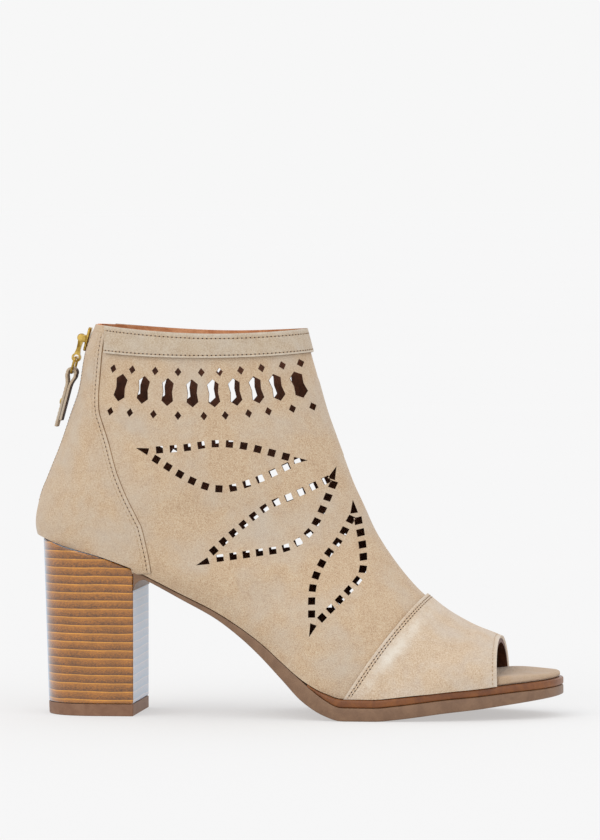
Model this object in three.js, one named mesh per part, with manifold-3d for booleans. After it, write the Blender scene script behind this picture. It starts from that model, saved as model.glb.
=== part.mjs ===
// Open-toe suede ankle boot with cut-out leaves, a stacked block heel and a zip up the back.
// Right shoe. Millimetres, +X to the toe, +Y to the inner side of the foot, +Z up.
// The origin is the centre of the heel tread, on the floor.
import * as THREE from "three";
import { mergeVertices } from "three/addons/utils/BufferGeometryUtils.js";
import Module from "manifold-3d";

const wasm = await Module();
wasm.setup();

// Driving sizes of the last
const length = 236.6;          // back of the upper to the tip of the sole
const rearReach = 26;          // how far the back of the upper stands behind the heel's centre
const ballWidth = 86;          // sole at its widest
const heelHeight = 71.4;       // seat under the middle of the heel
const toeSpring = 9.6;         // tip of the outsole above the floor
const shaftHeight = 173;       // collar above the floor
const collarWidth = 60;        // outside of the collar, side to side

// Walls and layers
const wall = 1.6;              // suede with its lining
const overlay = 1.1;           // toe cap and collar band
const seam = 0.3;              // clearance where two pieces meet
const outsoleEdge = 5.7;       // outsole under the welt
const weltEdge = 3.2;
const insoleThickness = 4.2;
const insoleTaper = 0.4;       // share of its thickness that the insole loses at the tip

// Heel block
const heelLength = 41;
const heelWidth = 52;
const heelBackLean = 2.8;      // how far the back of the heel leans out at the seat
const topLift = 5.5;
const breastFillet = 5;        // curve from the sole into the front of the heel

// Openings of the upper
const toeOpeningAt = 0.885;    // share of the length
const toeOpeningLean = 1.4;    // its top stands this much further back
const collarBandHeight = 10.8;
const collarDip = 3;           // the collar's sides hang this much lower than its back
const collarRise = 1.3;        // and its back stands this much higher than its front
const zipSlotWidth = 6.8;
const zipBottom = 98;

// Cut-outs
const diamondWidth = 3.1;
const diamondHeight = 4.0;
const slotWidth = 5.3;
const slotWaist = 4.1;
const slotHeight = 12.5;
const slotShoulder = 2.3;
const squareSide = 3.2;
const tipLength = 6;

// Zip pull
const pinRadius = 0.7;
const eyeClearance = 0.4;
const eyeRim = 0.8;
const pullerWidth = 2.4;
const pullerReach = 9.2;
const linkBar = 1.2;
const linkInside = 8.4;
const linkHeight = 7;
const tabWidth = 7.8;
const tabThickness = 2.6;
const tabReach = 42;
const studRadius = 1.7;

// Fineness of the facets
const sectionSteps = 26;
const halfSteps = 13;
const soleSteps = 44;

const stationX = (share) => share * length - rearReach;

// Value of one column between the rows of a table, on a curve that never overshoots a row
function between(rows, column, at) {
  const last = rows.length - 1;
  let i = 0;
  while (i < last - 1 && rows[i + 1].at < at) i += 1;
  const rise = (j) => (rows[j + 1][column] - rows[j][column]) / (rows[j + 1].at - rows[j].at);
  const slope = (j) => {
    if (j === 0) return rise(0);
    if (j === last) return rise(last - 1);
    const before = rise(j - 1);
    const after = rise(j);
    return before * after <= 0 ? 0 : (2 * before * after) / (before + after);
  };
  const span = rows[i + 1].at - rows[i].at;
  const t = Math.min(Math.max((at - rows[i].at) / span, 0), 1);
  const near = (1 + 2 * t) * (1 - t) ** 2 * rows[i][column] + t * t * (3 - 2 * t) * rows[i + 1][column];
  return near + span * (t * (1 - t) ** 2 * slope(i) + t * t * (t - 1) * slope(i + 1));
}

// Side of the sole. at: share of the length. lift: share of the heel height and spring: share of the
// toe spring that its underside stands at. edge: share of the forefoot's thickness.
const soleRows = [
  { at: -0.06, lift: 1.13, spring: 0, edge: 0.3 },
  { at: 0.0, lift: 1.082, spring: 0, edge: 0.3 },
  { at: 0.059, lift: 1.018, spring: 0, edge: 0.3 },
  { at: 0.127, lift: 0.961, spring: 0, edge: 0.3 },
  { at: 0.186, lift: 0.908, spring: 0, edge: 0.2 },
  { at: 0.228, lift: 0.841, spring: 0, edge: 0.19 },
  { at: 0.287, lift: 0.735, spring: 0, edge: 0.24 },
  { at: 0.351, lift: 0.62, spring: 0, edge: 0.32 },
  { at: 0.397, lift: 0.511, spring: 0, edge: 0.455 },
  { at: 0.44, lift: 0.388, spring: 0, edge: 0.63 },
  { at: 0.482, lift: 0.25, spring: 0, edge: 0.81 },
  { at: 0.524, lift: 0.113, spring: 0, edge: 1.02 },
  { at: 0.564, lift: 0.034, spring: 0, edge: 1.06 },
  { at: 0.6, lift: 0, spring: 0, edge: 1.04 },
  { at: 0.66, lift: 0, spring: 0, edge: 1.03 },
  { at: 0.702, lift: 0, spring: 0.086, edge: 1.04 },
  { at: 0.744, lift: 0, spring: 0.215, edge: 1.04 },
  { at: 0.79, lift: 0, spring: 0.365, edge: 1.03 },
  { at: 0.85, lift: 0, spring: 0.52, edge: 1.0 },
  { at: 0.913, lift: 0, spring: 0.725, edge: 0.95 },
  { at: 1.0, lift: 0, spring: 1.0, edge: 0.85 },
  { at: 1.06, lift: 0, spring: 1.17, edge: 0.85 },
];

// Outline of the sole from above. lateral and medial: shares of half the ball width.
const outlineRows = [
  { at: 0.18, lateral: 0.62, medial: 0.61 },
  { at: 0.228, lateral: 0.61, medial: 0.595 },
  { at: 0.29, lateral: 0.595, medial: 0.565 },
  { at: 0.35, lateral: 0.605, medial: 0.56 },
  { at: 0.41, lateral: 0.665, medial: 0.6 },
  { at: 0.47, lateral: 0.78, medial: 0.705 },
  { at: 0.53, lateral: 0.905, medial: 0.85 },
  { at: 0.595, lateral: 0.995, medial: 0.95 },
  { at: 0.66, lateral: 1.0, medial: 0.99 },
  { at: 0.723, lateral: 0.975, medial: 0.995 },
  { at: 0.786, lateral: 0.905, medial: 0.955 },
  { at: 0.85, lateral: 0.79, medial: 0.88 },
  { at: 0.9, lateral: 0.665, medial: 0.785 },
  { at: 0.94, lateral: 0.525, medial: 0.675 },
  { at: 0.968, lateral: 0.38, medial: 0.555 },
  { at: 0.988, lateral: 0.205, medial: 0.41 },
  { at: 0.997, lateral: 0.04, medial: 0.265 },
  { at: 1.0, lateral: -0.11, medial: 0.11 },
];

// Sections of the last, from above the collar to past the toe opening. Each lies between a point on
// the front ridge and one on the back or under the foot. frontAt, baseAt: shares of the length.
// frontUp: share of the shaft height. baseUp: share of the shaft height. cuff: share of half the
// collar width, with lateral and medial: shares of half the ball width, that make the half widths.
// widest: where along the section it is widest. round: how square its base is, crown: its ridge.
const lastRows = [
  { at: 0, frontAt: 0.5, frontUp: 1.046, baseAt: 0.123, baseUp: 1.046,
    cuff: 1.0, lateral: 0, medial: 0, widest: 0.5, round: 2.1, crown: 2.1 },
  { at: 1, frontAt: 0.5215, frontUp: 0.934, baseAt: 0.091, baseUp: 0.934,
    cuff: 1.0, lateral: 0, medial: 0, widest: 0.5, round: 2.1, crown: 2.1 },
  { at: 2, frontAt: 0.539, frontUp: 0.851, baseAt: 0.079, baseUp: 0.84,
    cuff: 1.01, lateral: 0, medial: 0, widest: 0.5, round: 2.1, crown: 2.0 },
  { at: 3, frontAt: 0.552, frontUp: 0.789, baseAt: 0.063, baseUp: 0.775,
    cuff: 1.02, lateral: 0, medial: 0, widest: 0.49, round: 2.1, crown: 2.0 },
  { at: 4, frontAt: 0.568, frontUp: 0.727, baseAt: 0.044, baseUp: 0.699,
    cuff: 1.0, lateral: 0.02, medial: 0.02, widest: 0.48, round: 2.1, crown: 2.0 },
  { at: 5, frontAt: 0.585, frontUp: 0.665, baseAt: 0.022, baseUp: 0.624,
    cuff: 0.9, lateral: 0.1, medial: 0.1, widest: 0.45, round: 2.1, crown: 2.0 },
  { at: 6, frontAt: 0.602, frontUp: 0.603, baseAt: 0.003, baseUp: 0.555,
    cuff: 0.8, lateral: 0.175, medial: 0.175, widest: 0.42, round: 2.1, crown: 2.0 },
  { at: 7, frontAt: 0.623, frontUp: 0.541, baseAt: -0.004, baseUp: 0.491,
    cuff: 0.6, lateral: 0.295, medial: 0.295, widest: 0.4, round: 2.2, crown: 2.0 },
  { at: 8, frontAt: 0.644, frontUp: 0.479, baseAt: 0.03, baseUp: 0.385,
    cuff: 0.4, lateral: 0.425, medial: 0.425, widest: 0.42, round: 2.3, crown: 2.0 },
  { at: 9, frontAt: 0.672, frontUp: 0.417, baseAt: 0.131, baseUp: 0.347,
    cuff: 0.2, lateral: 0.585, medial: 0.56, widest: 0.45, round: 2.4, crown: 2.0 },
  { at: 10, frontAt: 0.707, frontUp: 0.354, baseAt: 0.279, baseUp: 0.254,
    cuff: 0, lateral: 0.77, medial: 0.72, widest: 0.5, round: 2.2, crown: 2.0 },
  { at: 11, frontAt: 0.739, frontUp: 0.308, baseAt: 0.397, baseUp: 0.179,
    cuff: 0, lateral: 0.86, medial: 0.8, widest: 0.48, round: 2.8, crown: 2.0 },
  { at: 12, frontAt: 0.777, frontUp: 0.267, baseAt: 0.511, baseUp: 0.035,
    cuff: 0, lateral: 0.94, medial: 0.9, widest: 0.36, round: 4.0, crown: 2.0 },
  { at: 13, frontAt: 0.833, frontUp: 0.225, baseAt: 0.651, baseUp: -0.02,
    cuff: 0, lateral: 0.95, medial: 0.955, widest: 0.32, round: 3.0, crown: 2.0 },
  { at: 14, frontAt: 0.869, frontUp: 0.205, baseAt: 0.786, baseUp: 0.025,
    cuff: 0, lateral: 0.855, medial: 0.905, widest: 0.34, round: 3.0, crown: 2.1 },
  { at: 15, frontAt: 0.92, frontUp: 0.175, baseAt: 0.92, baseUp: 0.03,
    cuff: 0, lateral: 0.62, medial: 0.73, widest: 0.38, round: 3.0, crown: 2.2 },
];

const foreEdge = outsoleEdge + weltEdge + seam;
const undersideZ = (x) => {
  const share = (x + rearReach) / length;
  return between(soleRows, "lift", share) * heelHeight + between(soleRows, "spring", share) * toeSpring;
};
const featherZ = (x) => undersideZ(x) + between(soleRows, "edge", (x + rearReach) / length) * foreEdge;

// The welt thins out to nothing towards the waist
const weltStartAt = 0.505;
const weltFullAt = 0.6;
const weltShare = (x) => {
  const share = ((x + rearReach) / length - weltStartAt) / (weltFullAt - weltStartAt);
  return THREE.MathUtils.smoothstep(share, 0, 1);
};

function solidOf(geometry) {
  geometry.deleteAttribute("normal");
  geometry.deleteAttribute("uv");
  const merged = mergeVertices(geometry, 1e-3);
  return new wasm.Manifold(new wasm.Mesh({
    numProp: 3,
    vertProperties: new Float32Array(merged.attributes.position.array),
    triVerts: new Uint32Array(merged.index.array),
  }));
}

function geometryOf(solid) {
  const mesh = solid.simplify(0.01).getMesh();
  const geometry = new THREE.BufferGeometry();
  geometry.setAttribute("position", new THREE.BufferAttribute(new Float32Array(mesh.vertProperties), 3));
  geometry.setIndex(new THREE.BufferAttribute(new Uint32Array(mesh.triVerts), 1));
  geometry.computeVertexNormals();
  return geometry;
}

// Prism of an outline in the side view, x across and z up, from one y to another
function sidePrism(points, fromY, toY) {
  const shape = new THREE.Shape(points.map(([x, z]) => new THREE.Vector2(x, z)));
  const geometry = new THREE.ExtrudeGeometry(shape, { depth: toY - fromY, bevelEnabled: false });
  geometry.rotateX(Math.PI / 2);
  geometry.translate(0, toY, 0);
  return solidOf(geometry);
}

// Prism of an outline seen from above
function planPrism(points, fromZ, toZ) {
  const shape = new THREE.Shape(points.map(([x, y]) => new THREE.Vector2(x, y)));
  const geometry = new THREE.ExtrudeGeometry(shape, { depth: toZ - fromZ, bevelEnabled: false });
  geometry.translate(0, 0, fromZ);
  return solidOf(geometry);
}

function spread(from, to, steps, point) {
  const points = [];
  for (let i = 0; i <= steps; i += 1) points.push(point(from + ((to - from) * i) / steps));
  return points;
}

// One loop of the last: angle 0 is on the ridge, half a turn is under the foot or at the back
function sectionLoop(at) {
  const pick = (column) => between(lastRows, column, at);
  const front = new THREE.Vector3(stationX(pick("frontAt")), 0, pick("frontUp") * shaftHeight);
  const base = new THREE.Vector3(stationX(pick("baseAt")), 0, pick("baseUp") * shaftHeight);
  const cuffHalf = (pick("cuff") * collarWidth) / 2;
  const loop = [];
  for (let j = 0; j < 2 * halfSteps; j += 1) {
    const angle = (j / halfSteps) * Math.PI;
    const outer = angle < Math.PI ? "lateral" : "medial";
    const half = cuffHalf + (pick(outer) * ballWidth) / 2;
    const cos = Math.cos(angle);
    const power = 2 / (cos > 0 ? pick("crown") : pick("round"));
    const reach = Math.abs(cos) ** power * Math.sign(cos);
    const widest = pick("widest");
    const along = widest + reach * (cos > 0 ? 1 - widest : widest);
    const side = Math.abs(Math.sin(angle)) ** power * half;
    const point = base.clone().lerp(front, along);
    point.y = angle < Math.PI ? -side : side;
    loop.push(point);
  }
  return loop;
}

const loops = spread(0, lastRows.length - 1, sectionSteps, sectionLoop);
const columns = 2 * halfSteps;
const normals = loops.map((loop, i) => loop.map((_, j) => {
  const before = loops[Math.max(i - 1, 0)][j];
  const after = loops[Math.min(i + 1, sectionSteps)][j];
  const left = loop[(j + columns - 1) % columns];
  const right = loop[(j + 1) % columns];
  return right.clone().sub(left).cross(after.clone().sub(before)).normalize();
}));

// The whole last, with its surface moved out by a distance (in when it is negative)
function lastSolid(offset) {
  const positions = [];
  const indices = [];
  loops.forEach((loop, i) => loop.forEach((point, j) => {
    positions.push(...point.clone().addScaledVector(normals[i][j], offset).toArray());
  }));
  for (let i = 0; i < sectionSteps; i += 1) {
    for (let j = 0; j < columns; j += 1) {
      const a = i * columns + j;
      const b = i * columns + ((j + 1) % columns);
      indices.push(a, b, b + columns, a, b + columns, a + columns);
    }
  }
  for (const end of [0, sectionSteps]) {
    const centre = loops[end].reduce((sum, point) => sum.add(point), new THREE.Vector3());
    const hub = positions.length / 3;
    positions.push(...centre.divideScalar(columns).toArray());
    for (let j = 0; j < columns; j += 1) {
      const a = end * columns + j;
      const b = end * columns + ((j + 1) % columns);
      indices.push(...(end === 0 ? [hub, b, a] : [hub, a, b]));
    }
  }
  const geometry = new THREE.BufferGeometry();
  geometry.setAttribute("position", new THREE.Float32BufferAttribute(positions, 3));
  geometry.setIndex(indices);
  return solidOf(geometry);
}

const aside = ballWidth;       // past the widest point on either side
const toeOpeningX = stationX(toeOpeningAt);
const collarLineZ = (x) => {
  const across = (x - stationX(0.33)) / (0.25 * length);
  return shaftHeight + 1 - collarDip * (1 - Math.min(across * across, 1));
};
const collarTopZ = (x) => {
  const back = THREE.MathUtils.smoothstep(stationX(0.38) - x, 0, 0.26 * length);
  return collarLineZ(x) + collarRise * back;
};
const bandBottomZ = (x) => collarLineZ(x) - collarBandHeight;

// What is kept of the last's shell: over the sole, under the collar and behind the toe opening
function keptOutline() {
  const backX = stationX(-0.05);
  const frontX = stationX(0.6);
  const topZ = featherZ(toeOpeningX) + shaftHeight * 0.16;
  return [
    ...spread(backX, toeOpeningX, soleSteps, (x) => [x, featherZ(x) + seam]),
    [toeOpeningX - toeOpeningLean, topZ],
    [frontX, shaftHeight * 1.02],
    ...spread(frontX, backX, 16, (x) => [x, collarTopZ(x)]),
  ];
}

// The band of cut-outs round the ankle. Heights of its three rows, as shares of the shaft height
const bandHeights = [
  { at: 0.155, upper: 0.897, slot: 0.85, lower: 0.787 },
  { at: 0.33, upper: 0.889, slot: 0.835, lower: 0.777 },
  { at: 0.53, upper: 0.914, slot: 0.859, lower: 0.799 },
];

// Where each of its columns stands, as shares of the length
const bandColumns = [
  { upper: 0.158, slot: 0.173, lower: 0.153 },
  { upper: 0.196, slot: 0.218, lower: 0.192 },
  { upper: 0.241, slot: 0.265, lower: 0.238 },
  { upper: 0.285, slot: 0.312, lower: 0.285 },
  { upper: 0.329, slot: 0.352, lower: 0.334 },
  { upper: 0.363, slot: 0.392, lower: 0.374 },
  { upper: 0.402, slot: 0.431, lower: 0.417 },
  { upper: 0.44, slot: 0.468, lower: 0.453 },
  { upper: 0.477, slot: 0.506, lower: 0.496 },
  { upper: 0.508, slot: null, lower: 0.531 },
];

// Leaves drawn in small squares. Each has two pointed ends, given by apex and foot, and two sides,
// given by a few points and a count. at: share of the length, up: share of the shaft height.
const leaves = [
  {
    ends: [{ apex: [0.204, 0.694], foot: [0.23, 0.684] }, { apex: [0.525, 0.662], foot: [0.502, 0.662] }],
    sides: [
      { count: 10, points: [[0.25, 0.69], [0.3, 0.696], [0.354, 0.706], [0.409, 0.7], [0.485, 0.672]] },
      { count: 11, points: [[0.244, 0.665], [0.313, 0.61], [0.364, 0.59], [0.417, 0.604], [0.486, 0.646]] },
    ],
  },
  {
    ends: [{ apex: [0.319, 0.393], foot: [0.346, 0.407] }, { apex: [0.575, 0.645], foot: [0.568, 0.617] }],
    sides: [
      { count: 11, points: [[0.352, 0.431], [0.39, 0.478], [0.449, 0.542], [0.496, 0.57], [0.558, 0.61]] },
      { count: 12, points: [[0.364, 0.412], [0.43, 0.425], [0.491, 0.44], [0.529, 0.477],
        [0.553, 0.538], [0.57, 0.598]] },
    ],
  },
  {
    ends: [{ apex: [0.605, 0.558], foot: [0.608, 0.528] }, { apex: [0.536, 0.213], foot: [0.544, 0.245] }],
    sides: [
      { count: 9, points: [[0.603, 0.508], [0.582, 0.454], [0.556, 0.404], [0.54, 0.343], [0.54, 0.272]] },
      { count: 10, points: [[0.616, 0.504], [0.626, 0.437], [0.628, 0.374], [0.604, 0.327], [0.56, 0.263]] },
    ],
  },
];

const onSide = ([at, up]) => new THREE.Vector2(stationX(at), up * shaftHeight);

// A cut-out's outline, turned and moved to its place in the side view
function placed(outline, centre, angle) {
  const origin = new THREE.Vector2();
  return outline.map(([x, z]) => {
    const point = new THREE.Vector2(x, z).rotateAround(origin, angle).add(centre);
    return [point.x, point.y];
  });
}

const diamondOutline = [
  [diamondWidth / 2, 0], [0, diamondHeight / 2], [-diamondWidth / 2, 0], [0, -diamondHeight / 2],
];
const slotOutline = [
  [slotWaist / 2, 0], [slotWidth / 2, slotHeight / 2 - slotShoulder], [0, slotHeight / 2],
  [-slotWidth / 2, slotHeight / 2 - slotShoulder], [-slotWaist / 2, 0],
  [-slotWidth / 2, slotShoulder - slotHeight / 2], [0, -slotHeight / 2],
  [slotWidth / 2, slotShoulder - slotHeight / 2],
];
const squareOutline = [
  [squareSide / 2, -squareSide / 2], [squareSide / 2, squareSide / 2],
  [-squareSide / 2, squareSide / 2], [-squareSide / 2, -squareSide / 2],
];

// The cut-outs of the band follow its curve: upright at one share of the length, leaning past it
const uprightAt = 0.29;
const leanPerLength = 1.57;
const bandLean = (at) => (at - uprightAt) * leanPerLength;

function bandRow(row, outline) {
  return bandColumns.filter((column) => column[row] !== null).map((column) => {
    const centre = onSide([column[row], between(bandHeights, row, column[row])]);
    return placed(outline, centre, bandLean(column[row]));
  });
}

function leafOutlines({ ends, sides }) {
  const tips = ends.map(({ apex, foot }) => {
    const point = onSide(apex);
    const inward = onSide(foot).sub(point).normalize();
    const across = new THREE.Vector2(-inward.y, inward.x).multiplyScalar(squareSide / 2);
    const base = point.clone().addScaledVector(inward, tipLength);
    return [point, base.clone().sub(across), base.clone().add(across)].map((corner) => [corner.x, corner.y]);
  });
  const squares = sides.flatMap(({ count, points }) => {
    const curve = new THREE.SplineCurve(points.map(onSide));
    return spread(0, 1, count - 1, (t) => {
      return placed(squareOutline, curve.getPointAt(t), curve.getTangentAt(t).angle());
    });
  });
  return [...tips, ...squares];
}

const slots = bandRow("slot", slotOutline);
const upperDiamonds = bandRow("upper", diamondOutline);
const lowerDiamonds = bandRow("lower", diamondOutline);
const outerCutOuts = [...slots, ...upperDiamonds, ...lowerDiamonds, ...leaves.flatMap(leafOutlines)];
const innerCutOuts = [...slots, ...upperDiamonds];
const ridgeWidth = 3;          // no cut-out crosses this strip along the middle of the last

function cutOutPrisms() {
  const outer = outerCutOuts.map((outline) => sidePrism(outline, -aside, -ridgeWidth / 2));
  const inner = innerCutOuts.map((outline) => sidePrism(outline, ridgeWidth / 2, aside));
  return wasm.Manifold.union([...outer, ...inner]);
}

const zipFrontX = stationX(0.25);
const zipRegion = (clearance) => {
  const backX = stationX(-0.05);
  const bottomZ = zipBottom + clearance;
  const topZ = shaftHeight * 1.1;
  const half = zipSlotWidth / 2 - clearance;
  return sidePrism([[backX, bottomZ], [zipFrontX, bottomZ], [zipFrontX, topZ], [backX, topZ]], -half, half);
};

const kept = sidePrism(keptOutline(), -aside, aside);
const shell = (outside, inside) => lastSolid(outside).subtract(lastSolid(inside)).intersect(kept);

const upperSolid = () => shell(0, -wall).subtract(zipRegion(0)).subtract(cutOutPrisms());

const zipTapeDepth = 0.3;
const zipTapeSolid = () => shell(-zipTapeDepth, -wall).intersect(zipRegion(seam));

// Seam of the toe cap in the side view, from the ridge down to the sole
const capTopUp = 0.385;
const capSeamRows = [
  [0.79, capTopUp], [0.748, 0.321], [0.716, 0.273], [0.681, 0.213], [0.643, 0.14], [0.595, 0.04],
];

function toeCapSolid() {
  const seamLine = capSeamRows.map(onSide).map((point) => [point.x, point.y]);
  const frontX = stationX(1);
  const region = sidePrism([...seamLine, [frontX, 0], [frontX, shaftHeight * capTopUp]], -aside, aside);
  return shell(seam + overlay, seam).intersect(region);
}

const bandStartAt = 0.141;

function collarBandSolid() {
  const startX = stationX(bandStartAt);
  const frontX = stationX(0.65);
  const lower = spread(startX, frontX, 16, (x) => [x, bandBottomZ(x)]);
  const topZ = shaftHeight * 1.1;
  const region = sidePrism([...lower, [frontX, topZ], [startX, topZ]], -aside, aside);
  return shell(seam + overlay, seam).intersect(region);
}

// Outline of the sole from above, from a station to the tip and back along the inner side
const tipSteps = 26;

function soleOutline(fromX, margin) {
  const start = (fromX + rearReach) / length;
  const shares = spread(0, Math.PI / 2, tipSteps, (angle) => start + (1 - start) * Math.sin(angle));
  const half = ballWidth / 2 - margin;
  const place = (at) => stationX(at) - (margin * (at - start)) / (1 - start);
  const outerSide = shares.map((at) => [place(at), -between(outlineRows, "lateral", at) * half]);
  const innerSide = shares.map((at) => [place(at), between(outlineRows, "medial", at) * half]);
  return [...outerSide, ...innerSide.reverse().slice(1)];
}

const breastX = heelLength / 2;
const layerTop = (x) => featherZ(x) - weltShare(x) * (weltEdge + seam);

function outsoleSolid() {
  const backX = breastX + seam;
  const tipX = stationX(1.01);
  const filletZ = undersideZ(backX + breastFillet) - breastFillet;
  const fillet = spread(Math.PI, Math.PI / 2, 6, (angle) => [
    backX + breastFillet * (1 + Math.cos(angle)), filletZ + breastFillet * Math.sin(angle),
  ]);
  const under = spread(backX + breastFillet, tipX, soleSteps, (x) => [x, undersideZ(x)]);
  const over = spread(tipX, backX, soleSteps, (x) => [x, layerTop(x)]);
  const profile = sidePrism([...fillet, ...under.slice(1), ...over], -aside, aside);
  return profile.intersect(planPrism(soleOutline(backX, 0), 0, shaftHeight));
}

function weltSolid() {
  const thinnest = 0.3;
  const firstX = stationX(weltStartAt + (weltFullAt - weltStartAt) * thinnest);
  const tipX = stationX(1.01);
  const under = spread(firstX, tipX, soleSteps, (x) => [x, layerTop(x) + seam]);
  const over = spread(tipX, firstX, soleSteps, (x) => [x, featherZ(x)]);
  const profile = sidePrism([...under, ...over], -aside, aside);
  return profile.intersect(planPrism(soleOutline(stationX(0.45), 0), 0, shaftHeight));
}

const insoleMargin = 1.5;      // the insole's edge at the toe stands in from the welt's

function insoleSolid() {
  const backX = stationX(-0.02);
  const tipX = stationX(1) - insoleMargin;
  const thick = (x) => {
    const share = THREE.MathUtils.smoothstep(x, toeOpeningX, tipX);
    return insoleThickness * (1 - insoleTaper * share);
  };
  const under = spread(backX, tipX, soleSteps, (x) => [x, featherZ(x) + seam]);
  const over = spread(tipX, backX, soleSteps, (x) => [x, featherZ(x) + seam + thick(x)]);
  const layer = sidePrism([...under, ...over], -aside, aside);
  const outline = soleOutline(toeOpeningX + seam, insoleMargin);
  const front = planPrism(outline, 0, shaftHeight);
  return layer.intersect(lastSolid(-wall - seam).add(front));
}

// Block heel: rounded at the back, flat in front, leaning out a little towards the seat
function heelRing(z) {
  const rise = z / heelHeight;
  const backX = -heelLength / 2 - heelBackLean * rise;
  const widestX = heelLength * 0.08;
  const half = heelWidth / 2 + rise * 0.6;
  const back = spread(-Math.PI / 2, Math.PI / 2, 20, (angle) => [
    widestX - (widestX - backX) * Math.abs(Math.cos(angle)) ** 0.86,
    -Math.sign(Math.sin(angle)) * Math.abs(Math.sin(angle)) ** 0.86 * half,
  ]);
  const frontHalf = half * 0.985;
  return [[breastX, frontHalf], ...back, [breastX, -frontHalf]].map(([x, y]) => new THREE.Vector3(x, y, z));
}

// A solid through rings of points, closed by flat ends
function stackSolid(rings) {
  const count = rings[0].length;
  const positions = rings.flat().flatMap((point) => point.toArray());
  const indices = [];
  for (let i = 0; i < rings.length - 1; i += 1) {
    for (let j = 0; j < count; j += 1) {
      const a = i * count + j;
      const b = i * count + ((j + 1) % count);
      indices.push(a, b, b + count, a, b + count, a + count);
    }
  }
  const top = (rings.length - 1) * count;
  for (let j = 1; j < count - 1; j += 1) {
    indices.push(0, j + 1, j, top, top + j, top + j + 1);
  }
  const geometry = new THREE.BufferGeometry();
  geometry.setAttribute("position", new THREE.Float32BufferAttribute(positions, 3));
  geometry.setIndex(indices);
  return solidOf(geometry);
}

function heelBlockSolid() {
  const block = stackSolid([heelRing(topLift), heelRing(heelHeight * 1.3)]);
  const backX = stationX(-0.05);
  const seat = spread(breastX + 1, backX, 16, (x) => [x, featherZ(x)]);
  return block.intersect(sidePrism([[backX, 0], [breastX + 1, 0], ...seat], -aside, aside));
}

const topLiftSolid = () => stackSolid([heelRing(0), heelRing(topLift)]);

// Zip slider and pull. The pin that the pull swings on stands off the back of the collar.
const pinAt = 0.0835;
const pinUp = 0.973;
const backLean = 0.262;        // the back of the shaft leans this far off upright
const pin = new THREE.Vector3(stationX(pinAt), 0, pinUp * shaftHeight);

function discPoints(radius, x, z, steps) {
  return spread(0, 2 * Math.PI * (1 - 1 / steps), steps - 1, (angle) => [
    x + radius * Math.cos(angle), z + radius * Math.sin(angle),
  ]);
}

const eyeRadius = pinRadius + eyeClearance;
const barPrism = (radius, x, z, width, steps = 16) => {
  return sidePrism(discPoints(radius, x, z, steps), -width / 2, width / 2);
};
const boxPrism = (x0, x1, z0, z1, width) => {
  return sidePrism([[x0, z0], [x1, z0], [x1, z1], [x0, z1]], -width / 2, width / 2);
};

// Plate of the slider, with two lugs that carry the pin. x is measured in from the pin, z up from it.
const sliderThick = 1.2;
const sliderAbovePin = 5.6;
const sliderBelowPin = 5.4;
const lugGap = 0.4;
const lugWidth = 1.1;
const lugRadius = 1.6;

function sliderSolid() {
  const sliderBack = eyeRadius + eyeRim + seam;
  const lugInside = pullerWidth + 2 * lugGap;
  const lugOutside = lugInside + 2 * lugWidth;
  const plateWidth = zipSlotWidth - 2 * seam;
  const plate = boxPrism(sliderBack, sliderBack + sliderThick, -sliderBelowPin, sliderAbovePin, plateWidth);
  const foot = boxPrism(0, sliderBack + sliderThick / 2, -lugRadius, lugRadius, lugOutside);
  const lugs = barPrism(lugRadius, 0, 0, lugOutside).add(foot);
  const passage = boxPrism(-2 * lugRadius, sliderBack, -2 * lugRadius, 2 * lugRadius, lugInside);
  return plate.add(lugs.subtract(passage)).add(barPrism(pinRadius, 0, 0, lugOutside));
}

const linkEyeRadius = linkBar * 0.75 + eyeClearance;

function pullerSolid() {
  const upper = barPrism(eyeRadius + eyeRim, 0, 0, pullerWidth);
  const lower = barPrism(linkEyeRadius + eyeRim, 0, -pullerReach, pullerWidth);
  const shank = boxPrism(-1.1, 1.1, -pullerReach, 0, pullerWidth);
  const holes = barPrism(eyeRadius, 0, 0, pullerWidth * 2)
    .add(barPrism(linkEyeRadius, 0, -pullerReach, pullerWidth * 2));
  return upper.add(lower).add(shank).subtract(holes);
}

const linkFootZ = -pullerReach - linkHeight;

function linkSolid() {
  const half = linkBar / 2;
  const outer = boxPrism(-half, half, linkFootZ - half, -pullerReach + half, linkInside + 2 * linkBar);
  const inner = boxPrism(-linkBar, linkBar, linkFootZ + half, -pullerReach - half, linkInside);
  return outer.subtract(inner);
}

function tabSolid() {
  const loopRadius = linkEyeRadius + tabThickness / 2;
  const loop = barPrism(loopRadius, 0, linkFootZ, tabWidth, 20);
  const tipZ = tabThickness / 2 - tabReach;
  const tip = barPrism(tabThickness / 2, 0, tipZ, tabWidth);
  const strap = boxPrism(-tabThickness / 2, tabThickness / 2, tipZ, linkFootZ, tabWidth);
  return loop.add(strap).add(tip).subtract(barPrism(linkEyeRadius, 0, linkFootZ, tabWidth * 2));
}

const studZ = -30;
const studHeight = 0.9;

function studSolid() {
  const geometry = new THREE.CylinderGeometry(studRadius * 0.8, studRadius, studHeight, 16);
  geometry.rotateZ(Math.PI / 2);
  geometry.translate(-tabThickness / 2 - seam - studHeight / 2, 0, studZ);
  return solidOf(geometry);
}

const looks = {
  suede: { color: 0xcdb496, roughness: 0.95, metalness: 0 },
  suedeBand: { color: 0xc8aa87, roughness: 0.95, metalness: 0 },
  soleBrown: { color: 0x92705a, roughness: 0.6, metalness: 0 },
  weltBrown: { color: 0xa06446, roughness: 0.5, metalness: 0 },
  heelStack: { color: 0xaa733c, roughness: 0.35, metalness: 0 },
  liftBrown: { color: 0x966e50, roughness: 0.6, metalness: 0 },
  tape: { color: 0xb99b78, roughness: 0.9, metalness: 0 },
  gold: { color: 0xe6c864, roughness: 0.25, metalness: 1 },
};

function piece(name, solid, look) {
  const mesh = new THREE.Mesh(geometryOf(solid), new THREE.MeshStandardMaterial(looks[look]));
  mesh.name = name;
  return mesh;
}

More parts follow.
